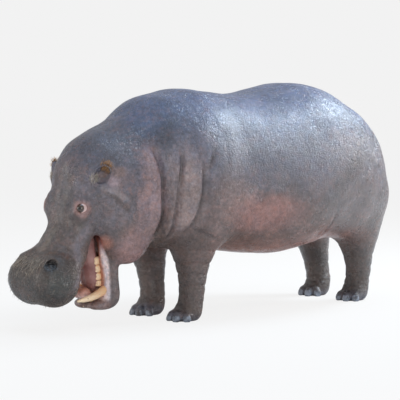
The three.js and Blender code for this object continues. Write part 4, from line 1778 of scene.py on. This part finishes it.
@dataclass(frozen=True)
class Horn:
    """A tapering solid along a bent line.

    Attributes:
        line: Points on its middle.
        radii: Its radius at places spread evenly from root to tip.
        flat: Its height across as a share of its width.
    """

    line: tuple[Place, ...]
    radii: tuple[float, ...]
    flat: float = 1.0
    sides: int = 20
    rings: int = 26

    def mesh(self) -> Sheet:
        """The horn's mesh, with the attribute "run": how far along and round."""
        nodes = Path(self.line).smooth
        at = np.linspace(0.0, 1.0, self.rings)
        knots = np.linspace(0.0, 1.0, len(nodes))
        middle = np.stack([np.interp(at, knots, nodes[:, k]) for k in range(3)], -1)
        radius = np.interp(at, np.linspace(0.0, 1.0, len(self.radii)), self.radii)[:, None, None]
        ahead = np.gradient(middle, axis=0)
        ahead /= row_lengths(ahead)[:, None]
        side = np.cross(ahead, np.array((0.0, 1.0, 0.0)))
        side /= row_lengths(side)[:, None]
        other = np.cross(ahead, side)
        turn = np.arange(self.sides) * 2.0 * math.pi / self.sides
        cos, sin = np.cos(turn)[None, :, None], np.sin(turn)[None, :, None]
        rows = middle[:, None] + radius * (self.flat * cos * side[:, None] + sin * other[:, None])
        tip = middle[-1:] + ahead[-1:] * self.radii[-1] * 0.7
        vertices = np.concatenate([rows.reshape(-1, 3), middle[:1], tip])
        root, tail = self.rings * self.sides, (self.rings - 1) * self.sides
        faces = tube(0, self.rings, self.sides) + fan(root, 0, self.sides) + fan(root + 1, tail, self.sides)
        run = np.concatenate([np.repeat(at, self.sides), [0.0, 1.0]])
        turns = np.concatenate([np.tile(turn, self.rings) / (2 * math.pi), [0.0, 0.0]])
        return Sheet(vertices, faces, {"run": np.stack([run, turns, np.zeros(len(run))], -1)})


def outward(made: Object) -> None:
    """Turns the faces of a closed mesh so that they all point outwards."""
    work = bmesh.new()
    work.from_mesh(made.data)
    bmesh.ops.recalc_face_normals(work, faces=work.faces)
    if work.calc_volume(signed=True) < 0.0:
        bmesh.ops.reverse_faces(work, faces=work.faces)
    work.to_mesh(made.data)
    work.free()


@dataclass(frozen=True)
class Piece:
    """What the frame has to know of a finished piece.

    Attributes:
        name: The piece's name.
        slot: A slot name; not used.
        finish: Its finish.
        replaces: The solids that it stands for.
    """

    name: str
    slot: str
    finish: Finish
    replaces: tuple[str, ...] = ()

    def dress(self, made: Object) -> Object:
        """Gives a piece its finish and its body."""
        made.data.materials.clear()
        made.data.materials.append(self.finish.material())
        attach(made, "root")
        if self.replaces:
            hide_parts(*self.replaces)
        log.info("%s: %d vertices, %d faces", self.name, len(made.data.vertices), len(made.data.polygons))
        return made


def both_sides(sheet: Sheet, name: str, slot: str, finish: Finish, node: str) -> None:
    """Makes a left piece, and the right one as its mirror image.

    Args:
        sheet: The left piece's mesh.
        name: The pieces' name, without their side.
        slot: A slot name, handed on to each piece.
        finish: Their finish.
        node: The solids that they stand for, without their side.
    """
    for side, half in (("left", sheet), ("right", sheet.mirrored())):
        made = half.object(f"{side}_{name}")
        outward(made)
        Piece(f"{side}_{name}", slot, finish, (f"{side}_{node}",)).dress(made)


@dataclass(frozen=True)
class Planting:
    """A tree that stands one shape on each of many roots.

    Attributes:
        name: The tree's name.
        vary: How much the sizes differ, as a share.
        spin: How far each copy may turn about its own length, in radians.
        patch: Size of each copy's patch in the map, or 0 for no map.
        seed: Picks the sizes and turns.
    """

    name: str
    vary: float = 0.0
    spin: float = 0.0
    patch: float = 0.0
    seed: int = 1

    def _tree(self) -> NodeTree:
        """The node tree that does the planting."""
        tree = bpy.data.node_groups.new(self.name, "GeometryNodeTree")
        for name, kind in {
            "Geometry": "Geometry",
            "Shape": "Object",
            "Finish": "Material",
            "Vary": "Float",
            "Spin": "Float",
            "Patch": "Float",
            "Seed": "Int",
        }.items():
            tree.interface.new_socket(name, in_out="INPUT", socket_type="NodeSocket" + kind)
        tree.interface.new_socket("Geometry", in_out="OUTPUT", socket_type="NodeSocketGeometry")
        board = Board(tree)
        given = board.add("NodeGroupInput").outputs

        def out(kind: str, sockets: dict, number: int = 0, **settings: str) -> NodeSocket:
            """One outcome of a new node."""
            return board.add(kind, sockets, **settings).outputs[number]

        def field(name: str, kind: str) -> NodeSocket:
            """An attribute of the roots or of the shape."""
            return out("GeometryNodeInputNamedAttribute", {"Name": name}, data_type=kind)

        def chance(low: object, high: object, step: int) -> NodeSocket:
            """A random number for each root."""
            sockets = {"Seed": board.plus(given["Seed"], float(step)), 2: low, 3: high}
            return out("FunctionNodeRandomValue", sockets, 1, data_type="FLOAT")

        align = "FunctionNodeAlignRotationToVector"
        stand = out(align, {"Vector": field("way", "FLOAT_VECTOR")}, axis="Z")
        facing = {"Rotation": stand, "Vector": field("face", "FLOAT_VECTOR")}
        stand = out(align, facing, axis="X", pivot_axis="Z")
        angle = chance(board.times(given["Spin"], -1.0), given["Spin"], 1)
        spin = out("FunctionNodeAxisAngleToRotation", {"Axis": UP, "Angle": angle})
        turned = {"Rotation": stand, "Rotate By": spin}
        turn = out("FunctionNodeRotateRotation", turned, rotation_space="LOCAL")
        size = chance(board.less(1.0, given["Vary"]), board.plus(1.0, given["Vary"]), 2)
        size = board.times(field("size", "FLOAT"), size)
        shape = board.add("GeometryNodeObjectInfo", {"Object": given["Shape"]}).outputs["Geometry"]
        planted = {"Points": given["Geometry"], "Instance": shape, "Rotation": turn, "Scale": size}
        whole = out("GeometryNodeRealizeInstances", {0: out("GeometryNodeInstanceOnPoints", planted)})
        if self.patch > 0.0:
            inner = board.scaled(field("blade", "FLOAT_VECTOR"), given["Patch"])
            spot = board.vector("ADD", field("spot", "FLOAT_VECTOR"), inner)
            stored = {"Geometry": whole, "Name": "OFBake", "Value": spot}
            whole = out("GeometryNodeStoreNamedAttribute", stored, data_type="FLOAT2", domain="CORNER")
        dressed = out("GeometryNodeSetMaterial", {"Geometry": whole, "Material": given["Finish"]})
        board.add("NodeGroupOutput", {"Geometry": dressed})
        return tree

    def plant(self, roots: "Roots", shape: Sheet, finish: Finish) -> Object:
        """Stands a shape on each root.

        Args:
            roots: Where the copies stand.
            shape: The shape, with +Z along its length and +X its front.
            finish: Its finish.

        Returns:
            One plain mesh object.
        """
        ground = roots.object(self.name + "_roots")
        pattern = shape.object(self.name + "_shape", 0.0)
        outward(pattern)
        modifier = ground.modifiers.new("planting", "NODES")
        modifier.node_group = self._tree()
        values = {
            "Shape": pattern,
            "Finish": finish.material(),
            "Vary": self.vary,
            "Spin": self.spin,
            "Patch": self.patch,
            "Seed": self.seed,
        }
        for item in modifier.node_group.interface.items_tree:
            if item.in_out == "INPUT" and item.name in values:
                modifier[item.identifier] = values[item.name]
        bpy.context.view_layer.update()
        done = ground.evaluated_get(bpy.context.evaluated_depsgraph_get())
        mesh = bpy.data.meshes.new_from_object(done)
        ground.modifiers.remove(modifier)
        bpy.data.objects.remove(pattern)
        bpy.data.objects.remove(ground)
        mesh.name = self.name
        for extra in ("way", "face", "size", "spot"):
            if extra in mesh.attributes:
                mesh.attributes.remove(mesh.attributes[extra])
        return placed(self.name, mesh)


@dataclass
class Roots:
    """Places for a planting.

    Attributes:
        places: Where each copy stands.
        ways: The way that each one's length runs.
        faces: The way that each one's front turns.
        sizes: Each one's scale.
    """

    places: Array
    ways: Array
    faces: Array
    sizes: Array

    def spots(self) -> Array:
        """Each root's place on a flat map of the animal's two sides."""
        x, y, z = self.places.T
        across = 0.5 * np.clip((x + 1.65) / 3.1, 0.0, 1.0) * 0.98 + np.where(y > 0.0, 0.505, 0.005)
        return np.stack([across, 0.02 + 0.94 * np.clip(z / 1.6, 0.0, 1.0), np.zeros(len(x))], -1)

    def object(self, name: str) -> Object:
        """The roots as loose vertices with their attributes."""
        mesh = bpy.data.meshes.new(name)
        mesh.from_pydata((self.places + np.array((SHIFT, 0.0, 0.0))).tolist(), [], [])
        for attribute, values in (("way", self.ways), ("face", self.faces), ("spot", self.spots())):
            layer = mesh.attributes.new(attribute, "FLOAT_VECTOR", "POINT")
            layer.data.foreach_set("vector", values.astype(np.float32).ravel())
        layer = mesh.attributes.new("size", "FLOAT", "POINT")
        layer.data.foreach_set("value", self.sizes.astype(np.float32))
        return placed(name, mesh)


# ---- The pieces ----


@dataclass
class Hide:
    """The animal's whole skin, in one closed mesh.

    Attributes:
        step: Size of the cells that it is first meshed with.
        finest: Longest edge where the detail is finest.
        lightness: How much of the painted tones' lightness the bare hide keeps.
        low: Tone of bare hide near the ground.
        high: Its tone higher up.
        painted_skylight: Painted skylight, the blue tone laid over skin that faces up, as if a blue light
            from above fell on it.
        dry: The traits of bare hide.
    """

    step: float = 0.0235
    finest: float = 0.0055
    lightness: float = 0.77
    flesh: Flesh | None = None
    relief: Relief = Relief()
    mouth: MouthColours = MouthColours()
    low: Colour = (0.155, 0.106, 0.090)
    high: Colour = (0.172, 0.176, 0.228)
    painted_skylight: Colour = (0.110, 0.165, 0.320)
    dry: Colour = (0.30, 0.15, 0.55)
    vertices: Array | None = None
    triangles: Array | None = None
    normals: Array | None = None

    def _target(self, points: Array) -> Array:
        """The longest edge wanted at each point."""
        left = leftwards(points)
        target = np.full(len(points), 0.05)
        for place, reach, size in (
            (EYE.centre, 0.085, self.finest),
            (EAR.axes.origin, 0.12, self.finest * 1.2),
            (HEAD.place(0.835, -0.092, 0.16), 0.09, self.finest * 1.3),
            (JAW.place(0.25, -0.12, 0.0), 0.30, self.finest * 1.9),
            ((FORE_X - 0.11, -FOOT_OUT, 0.02), 0.17, self.finest * 2.2),
            ((HIND_X - 0.10, -FOOT_OUT, 0.02), 0.17, self.finest * 2.2),
        ):
            near = row_lengths(left - np.array(place)) / reach
            coarser = size * 2.5 * ease(near, 0.7, 1.3) + 0.05 * ease(near, 1.0, 1.4)
            target = np.minimum(target, size + coarser)
        return target

    def shape(self) -> None:
        """Meshes the flesh and adds its relief."""
        self.flesh = flesh()
        step = self.step * 1.0
        vertices, quads = Skinner(step).mesh(self.flesh.distance)
        triangles = triangles_of(vertices, quads)
        vertices, _ = settle(vertices, triangles, self.flesh.slope, 2)
        for _ in range(2):
            vertices, triangles = refine(vertices, triangles, self._target)
            vertices, normals = settle(vertices, triangles, self.flesh.slope, 1, 0.35)
        self.vertices = vertices - self.relief.push(vertices)[:, None] * normals
        self.vertices[:, 2] = np.maximum(self.vertices[:, 2], 0.0)
        self.triangles, self.normals = triangles, normals

    def _colours(self) -> dict[str, Array]:
        """The painted attributes at each vertex."""
        places, left = self.vertices, leftwards(self.vertices)
        blank = np.zeros((len(left), 3))
        spread = left + np.stack([lattice_noise(places, 0.13, seed) for seed in (51, 52, 53)], -1) * 0.035
        height, rise = left[:, 2], self.normals[:, 2]
        ground = laid(blank + np.array(self.low), ease(height, 0.55, 1.15), self.high)
        tone = painted(left, painted(spread, ground, TONES), MARKS)
        # Painted skylight: high skin that faces up is tinted blue, as if lit from above.
        top = ease(rise, 0.25, 0.9) * ease(height, 1.0, 1.3) * (1.0 - ease(-left[:, 0], 0.75, 1.05))
        tone = laid(tone, 0.60 * top, self.painted_skylight)
        ahead = ease(-left[:, 0], 0.55, 0.95)
        clouds = (0.07 + 0.05 * ahead) * lattice_noise(places, 0.07, 61)
        clouds += (0.05 + 0.09 * ahead) * lattice_noise(places, 0.03, 62)
        tone *= self.lightness * (1.0 + clouds)[:, None]
        lining = self.mouth.share(left)
        tone += lining[:, None] * (self.mouth.tone(left) - tone)
        return {
            "tone": np.clip(tone, 0.0, 1.0),
            "traits": painted(spread, blank + np.array(self.dry), TRAITS),
            "wrinkles": painted(spread, blank, WRINKLES),
            # The second value is painted shade along the crease of each fold.
            "depth": np.stack([lining, self.flesh.crease_shade(places), blank[:, 0]], -1),
        }

    def piece(self) -> Object:
        """The finished skin."""
        self.shape()
        limbs = ("ear", "foreleg", "forefoot", "hindleg", "hindfoot")
        pairs = (f"{side}_{limb}" for side in ("left", "right") for limb in limbs)
        made = Sheet(self.vertices, self.triangles, self._colours()).object("hide")
        return Piece("hide", "hide", HIDE, ("trunk", "neck", "head", "lower_jaw", "tail", *pairs)).dress(made)

    def roots(self, hair: "Hair") -> Roots:
        """Places for hairs on the skin."""
        chance = np.random.default_rng(hair.seed)
        corners = self.vertices[self.triangles]
        area = row_lengths(np.cross(corners[:, 1] - corners[:, 0], corners[:, 2] - corners[:, 0]))
        weight = area * hair.zone.share(leftwards(corners.mean(axis=1)))
        chosen = chance.choice(len(weight), hair.count, p=weight / weight.sum())
        part = chance.dirichlet((1.0, 1.0, 1.0), hair.count)
        places = np.einsum("ij,ijk->ik", part, corners[chosen])
        normal = self.normals[self.triangles[chosen, 0]]
        along = np.tile(np.array(hair.comb, float), (hair.count, 1))
        along[:, 1] *= np.where(places[:, 1] > 0.0, -1.0, 1.0)
        along -= np.einsum("ij,ij->i", along, normal)[:, None] * normal
        ways = hair.lift * normal + (1.0 - hair.lift) * along + chance.normal(0.0, 0.12, (hair.count, 3))
        ways /= row_lengths(ways)[:, None]
        return Roots(places - 0.002 * normal, ways, along, np.ones(hair.count))


@dataclass(frozen=True)
class Hair:
    """Tufts of stiff hairs that grow in one place.

    Attributes:
        name: The piece's name.
        zone: Where they grow.
        count: How many hairs.
        comb: The way that they are combed.
        length: Of one hair.
        radius: Of its root.
        lift: How far they stand off the skin.
        droop: How far the tip bends, as a share of the length.
        finish: Their finish.
        seed: Picks the places.
    """

    name: str
    zone: Zone
    count: int
    comb: Place
    length: float
    radius: float
    lift: float
    droop: float
    finish: Finish
    seed: int

    def strand(self) -> Sheet:
        """One hair, three-sided and bent."""
        at = (0.0, 0.3, 0.6, 0.85, 1.0)
        rows, blade = [], []
        for t in at:
            radius, lean = self.radius * (1.0 - 0.75 * t), self.droop * self.length * t * t
            for k in range(3):
                angle = k * 2.0 * math.pi / 3.0
                rows.append((radius * math.cos(angle) + lean, radius * math.sin(angle), self.length * t))
                blade.append((t, k / 3.0, 0.0))
        faces = [[0, 2, 1], *tube(0, len(at), 3), [12, 13, 14]]
        return Sheet(np.array(rows), faces, {"blade": np.array(blade)})

    def piece(self, hide: Hide) -> Object:
        """The finished tufts."""
        planting = Planting(self.name, vary=0.35, spin=0.6, patch=0.003, seed=self.seed)
        made = planting.plant(hide.roots(self), self.strand(), self.finish)
        return Piece(self.name, "hide", self.finish).dress(made)


HAIRS = (
    Hair(
        "nose_bristles",
        Zone(HEAD.place(0.86, -0.05, 0.165), (0.08, 0.11, 0.06), edge=0.6),
        240, (-0.45, -0.25, -0.85), 0.034, 0.0008, 0.22, 0.35, PALE_HAIR, 14,
    ),
    Hair(
        "ear_rim_hair",
        Zone(EAR.axes.place(-0.050, -0.034, 0.010), (0.032, 0.036, 0.030), edge=0.6),
        300, (0.35, -0.35, 0.85), 0.022, 0.0007, 0.40, 0.30, PALE_HAIR, 15,
    ),
    Hair(
        "muzzle_bristles",
        Zone(HEAD.place(0.98, -0.10, 0.02), (0.15, 0.26, 0.20), edge=0.5),
        170, (-0.5, -0.4, -0.8), 0.020, 0.0009, 0.40, 0.35, MUZZLE_HAIR, 11,
    ),
    Hair(
        "ear_fringe",
        Zone(EAR.axes.place(0.045, 0.0, 0.010), (0.040, 0.045, 0.045), edge=0.6),
        520, (0.35, -0.35, 0.9), 0.030, 0.0008, 0.50, 0.30, EAR_HAIR, 12,
    ),
    Hair(
        "tail_tuft",
        Zone(TAIL_FORM.axes.place(0.35, 0.0, 0.0), (0.07, 0.07, 0.09), edge=0.8),
        420, (0.1, 0.0, -1.0), 0.075, 0.0010, 0.30, 0.25, TAIL_HAIR, 13,
    ),
)


@dataclass(frozen=True)
class Nails:
    """The sixteen nails, four on each foot.

    Attributes:
        half: Half sizes: thick, wide and high.
        square: How square the nail's outline is.
    """

    half: Place = (0.018, 0.0265, 0.0265)
    square: float = 2.5

    def nail(self) -> Sheet:
        """One nail: +X is its front and +Z its length."""
        thick, wide, high = self.half

        def shape(angle: Array, turn: Array) -> Array:
            """Places on the form at an angle and a turn."""
            up, ahead, out = np.cos(angle), np.sin(angle) * np.cos(turn), np.sin(angle) * np.sin(turn)
            n = self.square
            size = (np.abs(up) ** n + np.abs(out) ** n + np.abs(ahead) ** 2.0) ** (-1.0 / n)
            tall = np.clip(up * size * high, -high * 0.86, high)
            groove = 1.0 + 0.03 * np.cos(7.0 * turn)
            taper = groove * (1.0 - 0.10 * tall / high)
            front = ahead * size * thick * groove - 0.25 * tall
            return np.stack([tall, out * size * wide * taper, front], -1)

        return Ball(Axes((0.0, 0.0, 0.0), UP, (1.0, 0.0, 0.0)), 16, 20).mesh(shape)

    def piece(self) -> Object:
        """The finished nails."""
        places, faces = [], []
        for leg in (FORELEG_FORM, HINDLEG_FORM):
            for turn, (x, y, z) in toe_places(leg):
                for side in (1.0, -1.0):
                    places.append((x, y * side, z))
                    faces.append((-math.cos(turn), math.sin(turn) * side, 0.0))
        count = len(places)
        roots = Roots(np.array(places), np.tile(UP, (count, 1)), np.array(faces), np.ones(count))
        made = Planting("nails", vary=0.03, seed=7).plant(roots, self.nail(), NAIL)
        limbs = [f"{side}_{end}" for side in ("left", "right") for end in ("fore", "hind")]
        nodes = (f"{limb}_nail_{number}" for limb in limbs for number in range(1, NAIL_COUNT + 1))
        return Piece("nails", "nail", NAIL, tuple(nodes)).dress(made)


@dataclass(frozen=True)
class Eyes:
    """The two eyeballs."""

    eye: Eye = EYE

    def pieces(self) -> None:
        """Makes the finished eyes."""

        def shape(angle: Array, turn: Array) -> Array:
            """Places on the form at an angle and a turn."""
            radius = self.eye.radius * (1.0 + 0.045 * (1.0 - ease(angle, 0.30, 0.68)))
            return np.stack([np.cos(angle), *self._across(angle, turn)], -1) * radius[:, None]

        left = Ball(Axes.along(self.eye.centre, self.eye.gaze, self.eye.top), 48, 48).mesh(shape)
        ring = left.colours["ring"]
        angle = ring[:, 0] * math.pi
        out, up = self._across(angle, ring[:, 1] * 2.0 * math.pi)
        slit = np.sqrt((out / 1.15) ** 2 + (up / 0.80) ** 2)
        ring[:, 2] = np.where(angle < math.pi / 2, np.arcsin(np.minimum(slit, 1.0)) / math.pi, 1.0)
        both_sides(left, "eyeball", "eye", WET_EYE, "eye")

    @staticmethod
    def _across(angle: Array, turn: Array) -> tuple[Array, Array]:
        """Out and up on a ball of radius 1, from the angle to its gaze and the turn."""
        return np.sin(angle) * np.cos(turn), np.sin(angle) * np.sin(turn)


@dataclass(frozen=True)
class Teeth:
    """The tusks, the cheek teeth and the front teeth of the lower jaw.

    Attributes:
        tusk: Places in the jaw along the left tusk, from its root to its tip.
        radii: The tusk's radius at places spread evenly along it.
        lengths: Of the cheek teeth along the jaw.
        start: Where the first of them stands.
    """

    tusk: tuple[Place, ...] = (
        (0.352, -0.104, -0.050),
        (0.385, -0.108, 0.030),
        (0.400, -0.116, 0.115),
        (0.403, -0.126, 0.200),
    )
    radii: tuple[float, ...] = (0.0300, 0.0290, 0.0265, 0.0220, 0.0165, 0.0080)
    lengths: tuple[float, ...] = (0.054, 0.052, 0.050, 0.044)
    start: float = 0.148

    def tusks(self) -> None:
        """Makes the two tusks, curved forwards."""
        line = tuple(JAW.place(*place) for place in self.tusk)
        both_sides(Horn(line, self.radii, 0.92, 28, 36).mesh(), "ivory_tusk", "ivory", IVORY, "tusk")

    @staticmethod
    def _molar(middle: Axes, length: float, high: float) -> Sheet:
        """A cheek tooth.

        Args:
            middle: Where it stands, with its forward direction up out of the jaw.
            length: Its length along the jaw.
            high: Half its height.

        Returns:
            Its mesh, with the attribute "run".
        """

        def shape(angle: Array, turn: Array) -> Array:
            """Places on the form at an angle and a turn."""
            up, a, b = np.cos(angle), np.sin(angle) * np.cos(turn), np.sin(angle) * np.sin(turn)
            size = (np.abs(up) ** 3.2 + np.abs(a) ** 3.2 + np.abs(b) ** 3.2) ** (-1.0 / 3.2)
            up, a, b = up * size, a * size, b * size
            pits = 0.006 * np.exp(-((b / 0.35) ** 2)) + 0.003 * np.exp(-((a / 0.2) ** 2))
            cusps = ease(up, 0.55, 1.0) * (0.0035 * np.cos(a * 6.5) - pits)
            neck = 1.0 - 0.10 * ease(-up, -0.1, 0.5)
            return np.stack([up * high + cusps, a * 0.0185 * neck, b * (length / 2 - 0.0012) * neck], -1)

        sheet = Ball(middle, 22, 28).mesh(shape)
        ring = sheet.colours.pop("ring")
        sheet.colours["run"] = np.stack([1.0 - ring[:, 0] * 1.25, ring[:, 1], ring[:, 2]], -1)
        return sheet

    def row(self) -> Object:
        """Cheek teeth and front teeth in one piece."""
        sheets, along = [], self.start
        for number, length in enumerate(self.lengths):
            place = JAW.place(along + length / 2, -0.079 + 0.003 * number, -0.010 - 0.004 * number)
            sheets.append(self._molar(Axes.along(place, JAW.up, JAW.forward), length, 0.044 - 0.003 * number))
            along += length * 0.97
        for out, length, radius in ((0.024, 0.044, 0.0135), (0.060, 0.038, 0.0110)):
            bend = ((0.425, -out, -0.025), (0.452, -out * 1.02, 0.020), (0.470, -out * 1.05, length))
            radii = tuple(radius * share for share in (1.0, 1.0, 0.9, 0.72, 0.45))
            sheets.append(Horn(tuple(JAW.place(*place) for place in bend), radii, sides=18, rings=18).mesh())
        sheets += [sheet.mirrored() for sheet in sheets]
        made = Sheet.joined(sheets).object("cheek_and_front_teeth")
        outward(made)
        return Piece("cheek_and_front_teeth", "ivory", IVORY).dress(made)


@dataclass(frozen=True)
class Tongue:
    """The tongue, lying on the floor of the mouth."""

    step: float = 0.0075
    form: Loft = Loft(
        JAW,
        (
            (-0.040, 0.128, -0.015, 0.088),
            (0.120, 0.103, -0.025, 0.088),
            (0.260, 0.066, -0.035, 0.082),
            (0.380, 0.038, -0.035, 0.068),
        ),
        square=2.0,
        caps=(0.09, 0.08),
    )

    def piece(self) -> Object:
        """The finished tongue, with a groove along its middle."""

        def distance(points: Array) -> Array:
            """Distance to the tongue's surface, negative inside."""
            _, out, up = JAW.local(points).T
            groove = 0.010 * np.exp(-((out / 0.014) ** 2)) * ease(up, 0.0, 0.04)
            return self.form.distance(points) + groove + 0.004 * lattice_noise(points, 0.045, 71)

        lens = Lens(JAW.place(0.17, 0.0, 0.04), 1.0, 1.0)
        vertices, quads = Skinner(self.step, lens, (-0.20, -0.16, -0.35), (0.20, 0.16, 0.35)).mesh(distance)
        made = Sheet(vertices, triangles_of(vertices, quads), {}).object("soft_tongue")
        return Piece("soft_tongue", "mouth", TONGUE, ("tongue",)).dress(made)


# ---- Studio ----


@dataclass(frozen=True)
class Lamp:
    """A soft square light.

    Attributes:
        place: Where it hangs.
        size: Its side.
        power: In watts.
        colour: Its colour.
    """

    name: str
    place: Place
    size: float
    power: float
    colour: Colour = (1.0, 1.0, 1.0)

    def hang(self, aim: Place) -> None:
        """Hangs the light and turns it to a place."""
        light = bpy.data.lights.new(self.name, "AREA")
        light.size, light.energy, light.color = self.size, self.power, self.colour
        made = placed(self.name, light)
        made.location = self.place
        made.rotation_euler = (Vector(aim) - Vector(self.place)).to_track_quat("-Z", "Y").to_euler()


@dataclass(frozen=True)
class Studio:
    """A pale floor, soft lights and the camera."""

    eye: Place = (-7.74621, -8.77726, 1.6)
    heading: tuple[float, float] = (0.66, 0.7513)
    pitch: float = 4.111
    lens: float = 157.77
    backdrop: float = 0.888
    around: float = 0.50
    floor: float = 0.80
    floor_glow: float = 0.966
    floor_share: float = 0.86
    lamps: tuple[Lamp, ...] = (
        Lamp("key_above", (4.4, -0.7, 4.4), 1.9, 300.0, (0.74, 0.88, 1.0)),
        Lamp("sky_panel", (-0.8, -0.8, 6.0), 4.5, 110.0, (0.52, 0.74, 1.0)),
        Lamp("side_fill", (-6.0, -7.5, 2.6), 4.5, 175.0, (1.0, 0.97, 0.94)),
        Lamp("rump_side", (7.2, -3.0, 3.0), 1.9, 225.0, (1.0, 0.98, 0.97)),
        Lamp("front_fill", (-6.5, 2.6, 1.0), 3.0, 110.0, (1.0, 0.95, 0.90)),
    )

    def build(self) -> None:
        """Builds the studio."""
        bpy.context.scene.view_settings.view_transform = "Standard"
        self._world()
        self._floor()
        for lamp in self.lamps:
            lamp.hang((0.0, 0.0, 0.8))
        self._camera()

    def _world(self) -> None:
        """Puts up the backdrop, and the weaker light that comes from all around."""
        world = bpy.data.worlds.new("studio")
        world.use_nodes = True
        board = Board(world.node_tree)
        seen = board.add("ShaderNodeLightPath").outputs["Is Camera Ray"]
        shade = board.mix(seen, rgba((self.around,) * 3), rgba((self.backdrop,) * 3))
        world.node_tree.links.new(shade, world.node_tree.nodes["Background"].inputs[0])
        bpy.context.scene.world = world

    def _floor(self) -> None:
        """Lays the floor, which glows for the camera only."""
        half = 60.0
        corners = np.array(((-half, -half, 0.0), (half, -half, 0.0), (half, half, 0.0), (-half, half, 0.0)))
        made = Sheet(corners, [[0, 1, 2, 3]], {}).object("studio_floor", 0.0)
        paint = bpy.data.materials.new("floor_paint")
        paint.use_nodes = True
        paint.node_tree.nodes.clear()
        board = Board(paint.node_tree)
        sockets = {"Base Color": rgba((self.floor,) * 3), "Roughness": 0.9, "Specular IOR Level": 0.0}
        matt = board.add("ShaderNodeBsdfPrincipled", sockets).outputs[0]
        glow = board.add("ShaderNodeEmission", {"Color": rgba((self.floor_glow,) * 3)}).outputs[0]
        share = board.times(board.add("ShaderNodeLightPath").outputs["Is Camera Ray"], self.floor_share)
        mixed = board.add("ShaderNodeMixShader", {0: share, 1: matt, 2: glow})
        board.add("ShaderNodeOutputMaterial", {"Surface": mixed.outputs[0]})
        made.data.materials.append(paint)

    def _camera(self) -> None:
        """Stands the camera."""
        camera = bpy.data.cameras.new("camera")
        camera.lens, camera.sensor_width, camera.sensor_fit = self.lens, 36.0, "HORIZONTAL"
        camera.clip_end = 200.0
        eye = placed("camera", camera)
        x, y = self.heading
        drop = math.tan(math.radians(self.pitch)) * math.hypot(x, y)
        eye.location = self.eye
        eye.rotation_euler = Vector((x, y, -drop)).to_track_quat("-Z", "Y").to_euler()
        bpy.context.scene.camera = eye


@dataclass(frozen=True)
class Hippopotamus:
    """The whole animal."""

    hide: Hide
    hairs: tuple[Hair, ...] = HAIRS

    def build(self) -> None:
        """Builds every piece in order."""
        self.hide.piece()
        Tongue().piece()
        Teeth().tusks()
        Teeth().row()
        Eyes().pieces()
        Nails().piece()
        for hair in self.hairs:
            hair.piece(self.hide)


def main() -> None:
    """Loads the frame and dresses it."""
    logging.basicConfig(level=logging.INFO, format="%(name)s: %(message)s")
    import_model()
    Studio().build()
    Hippopotamus(Hide()).build()


if __name__ == "__main__":
    main()
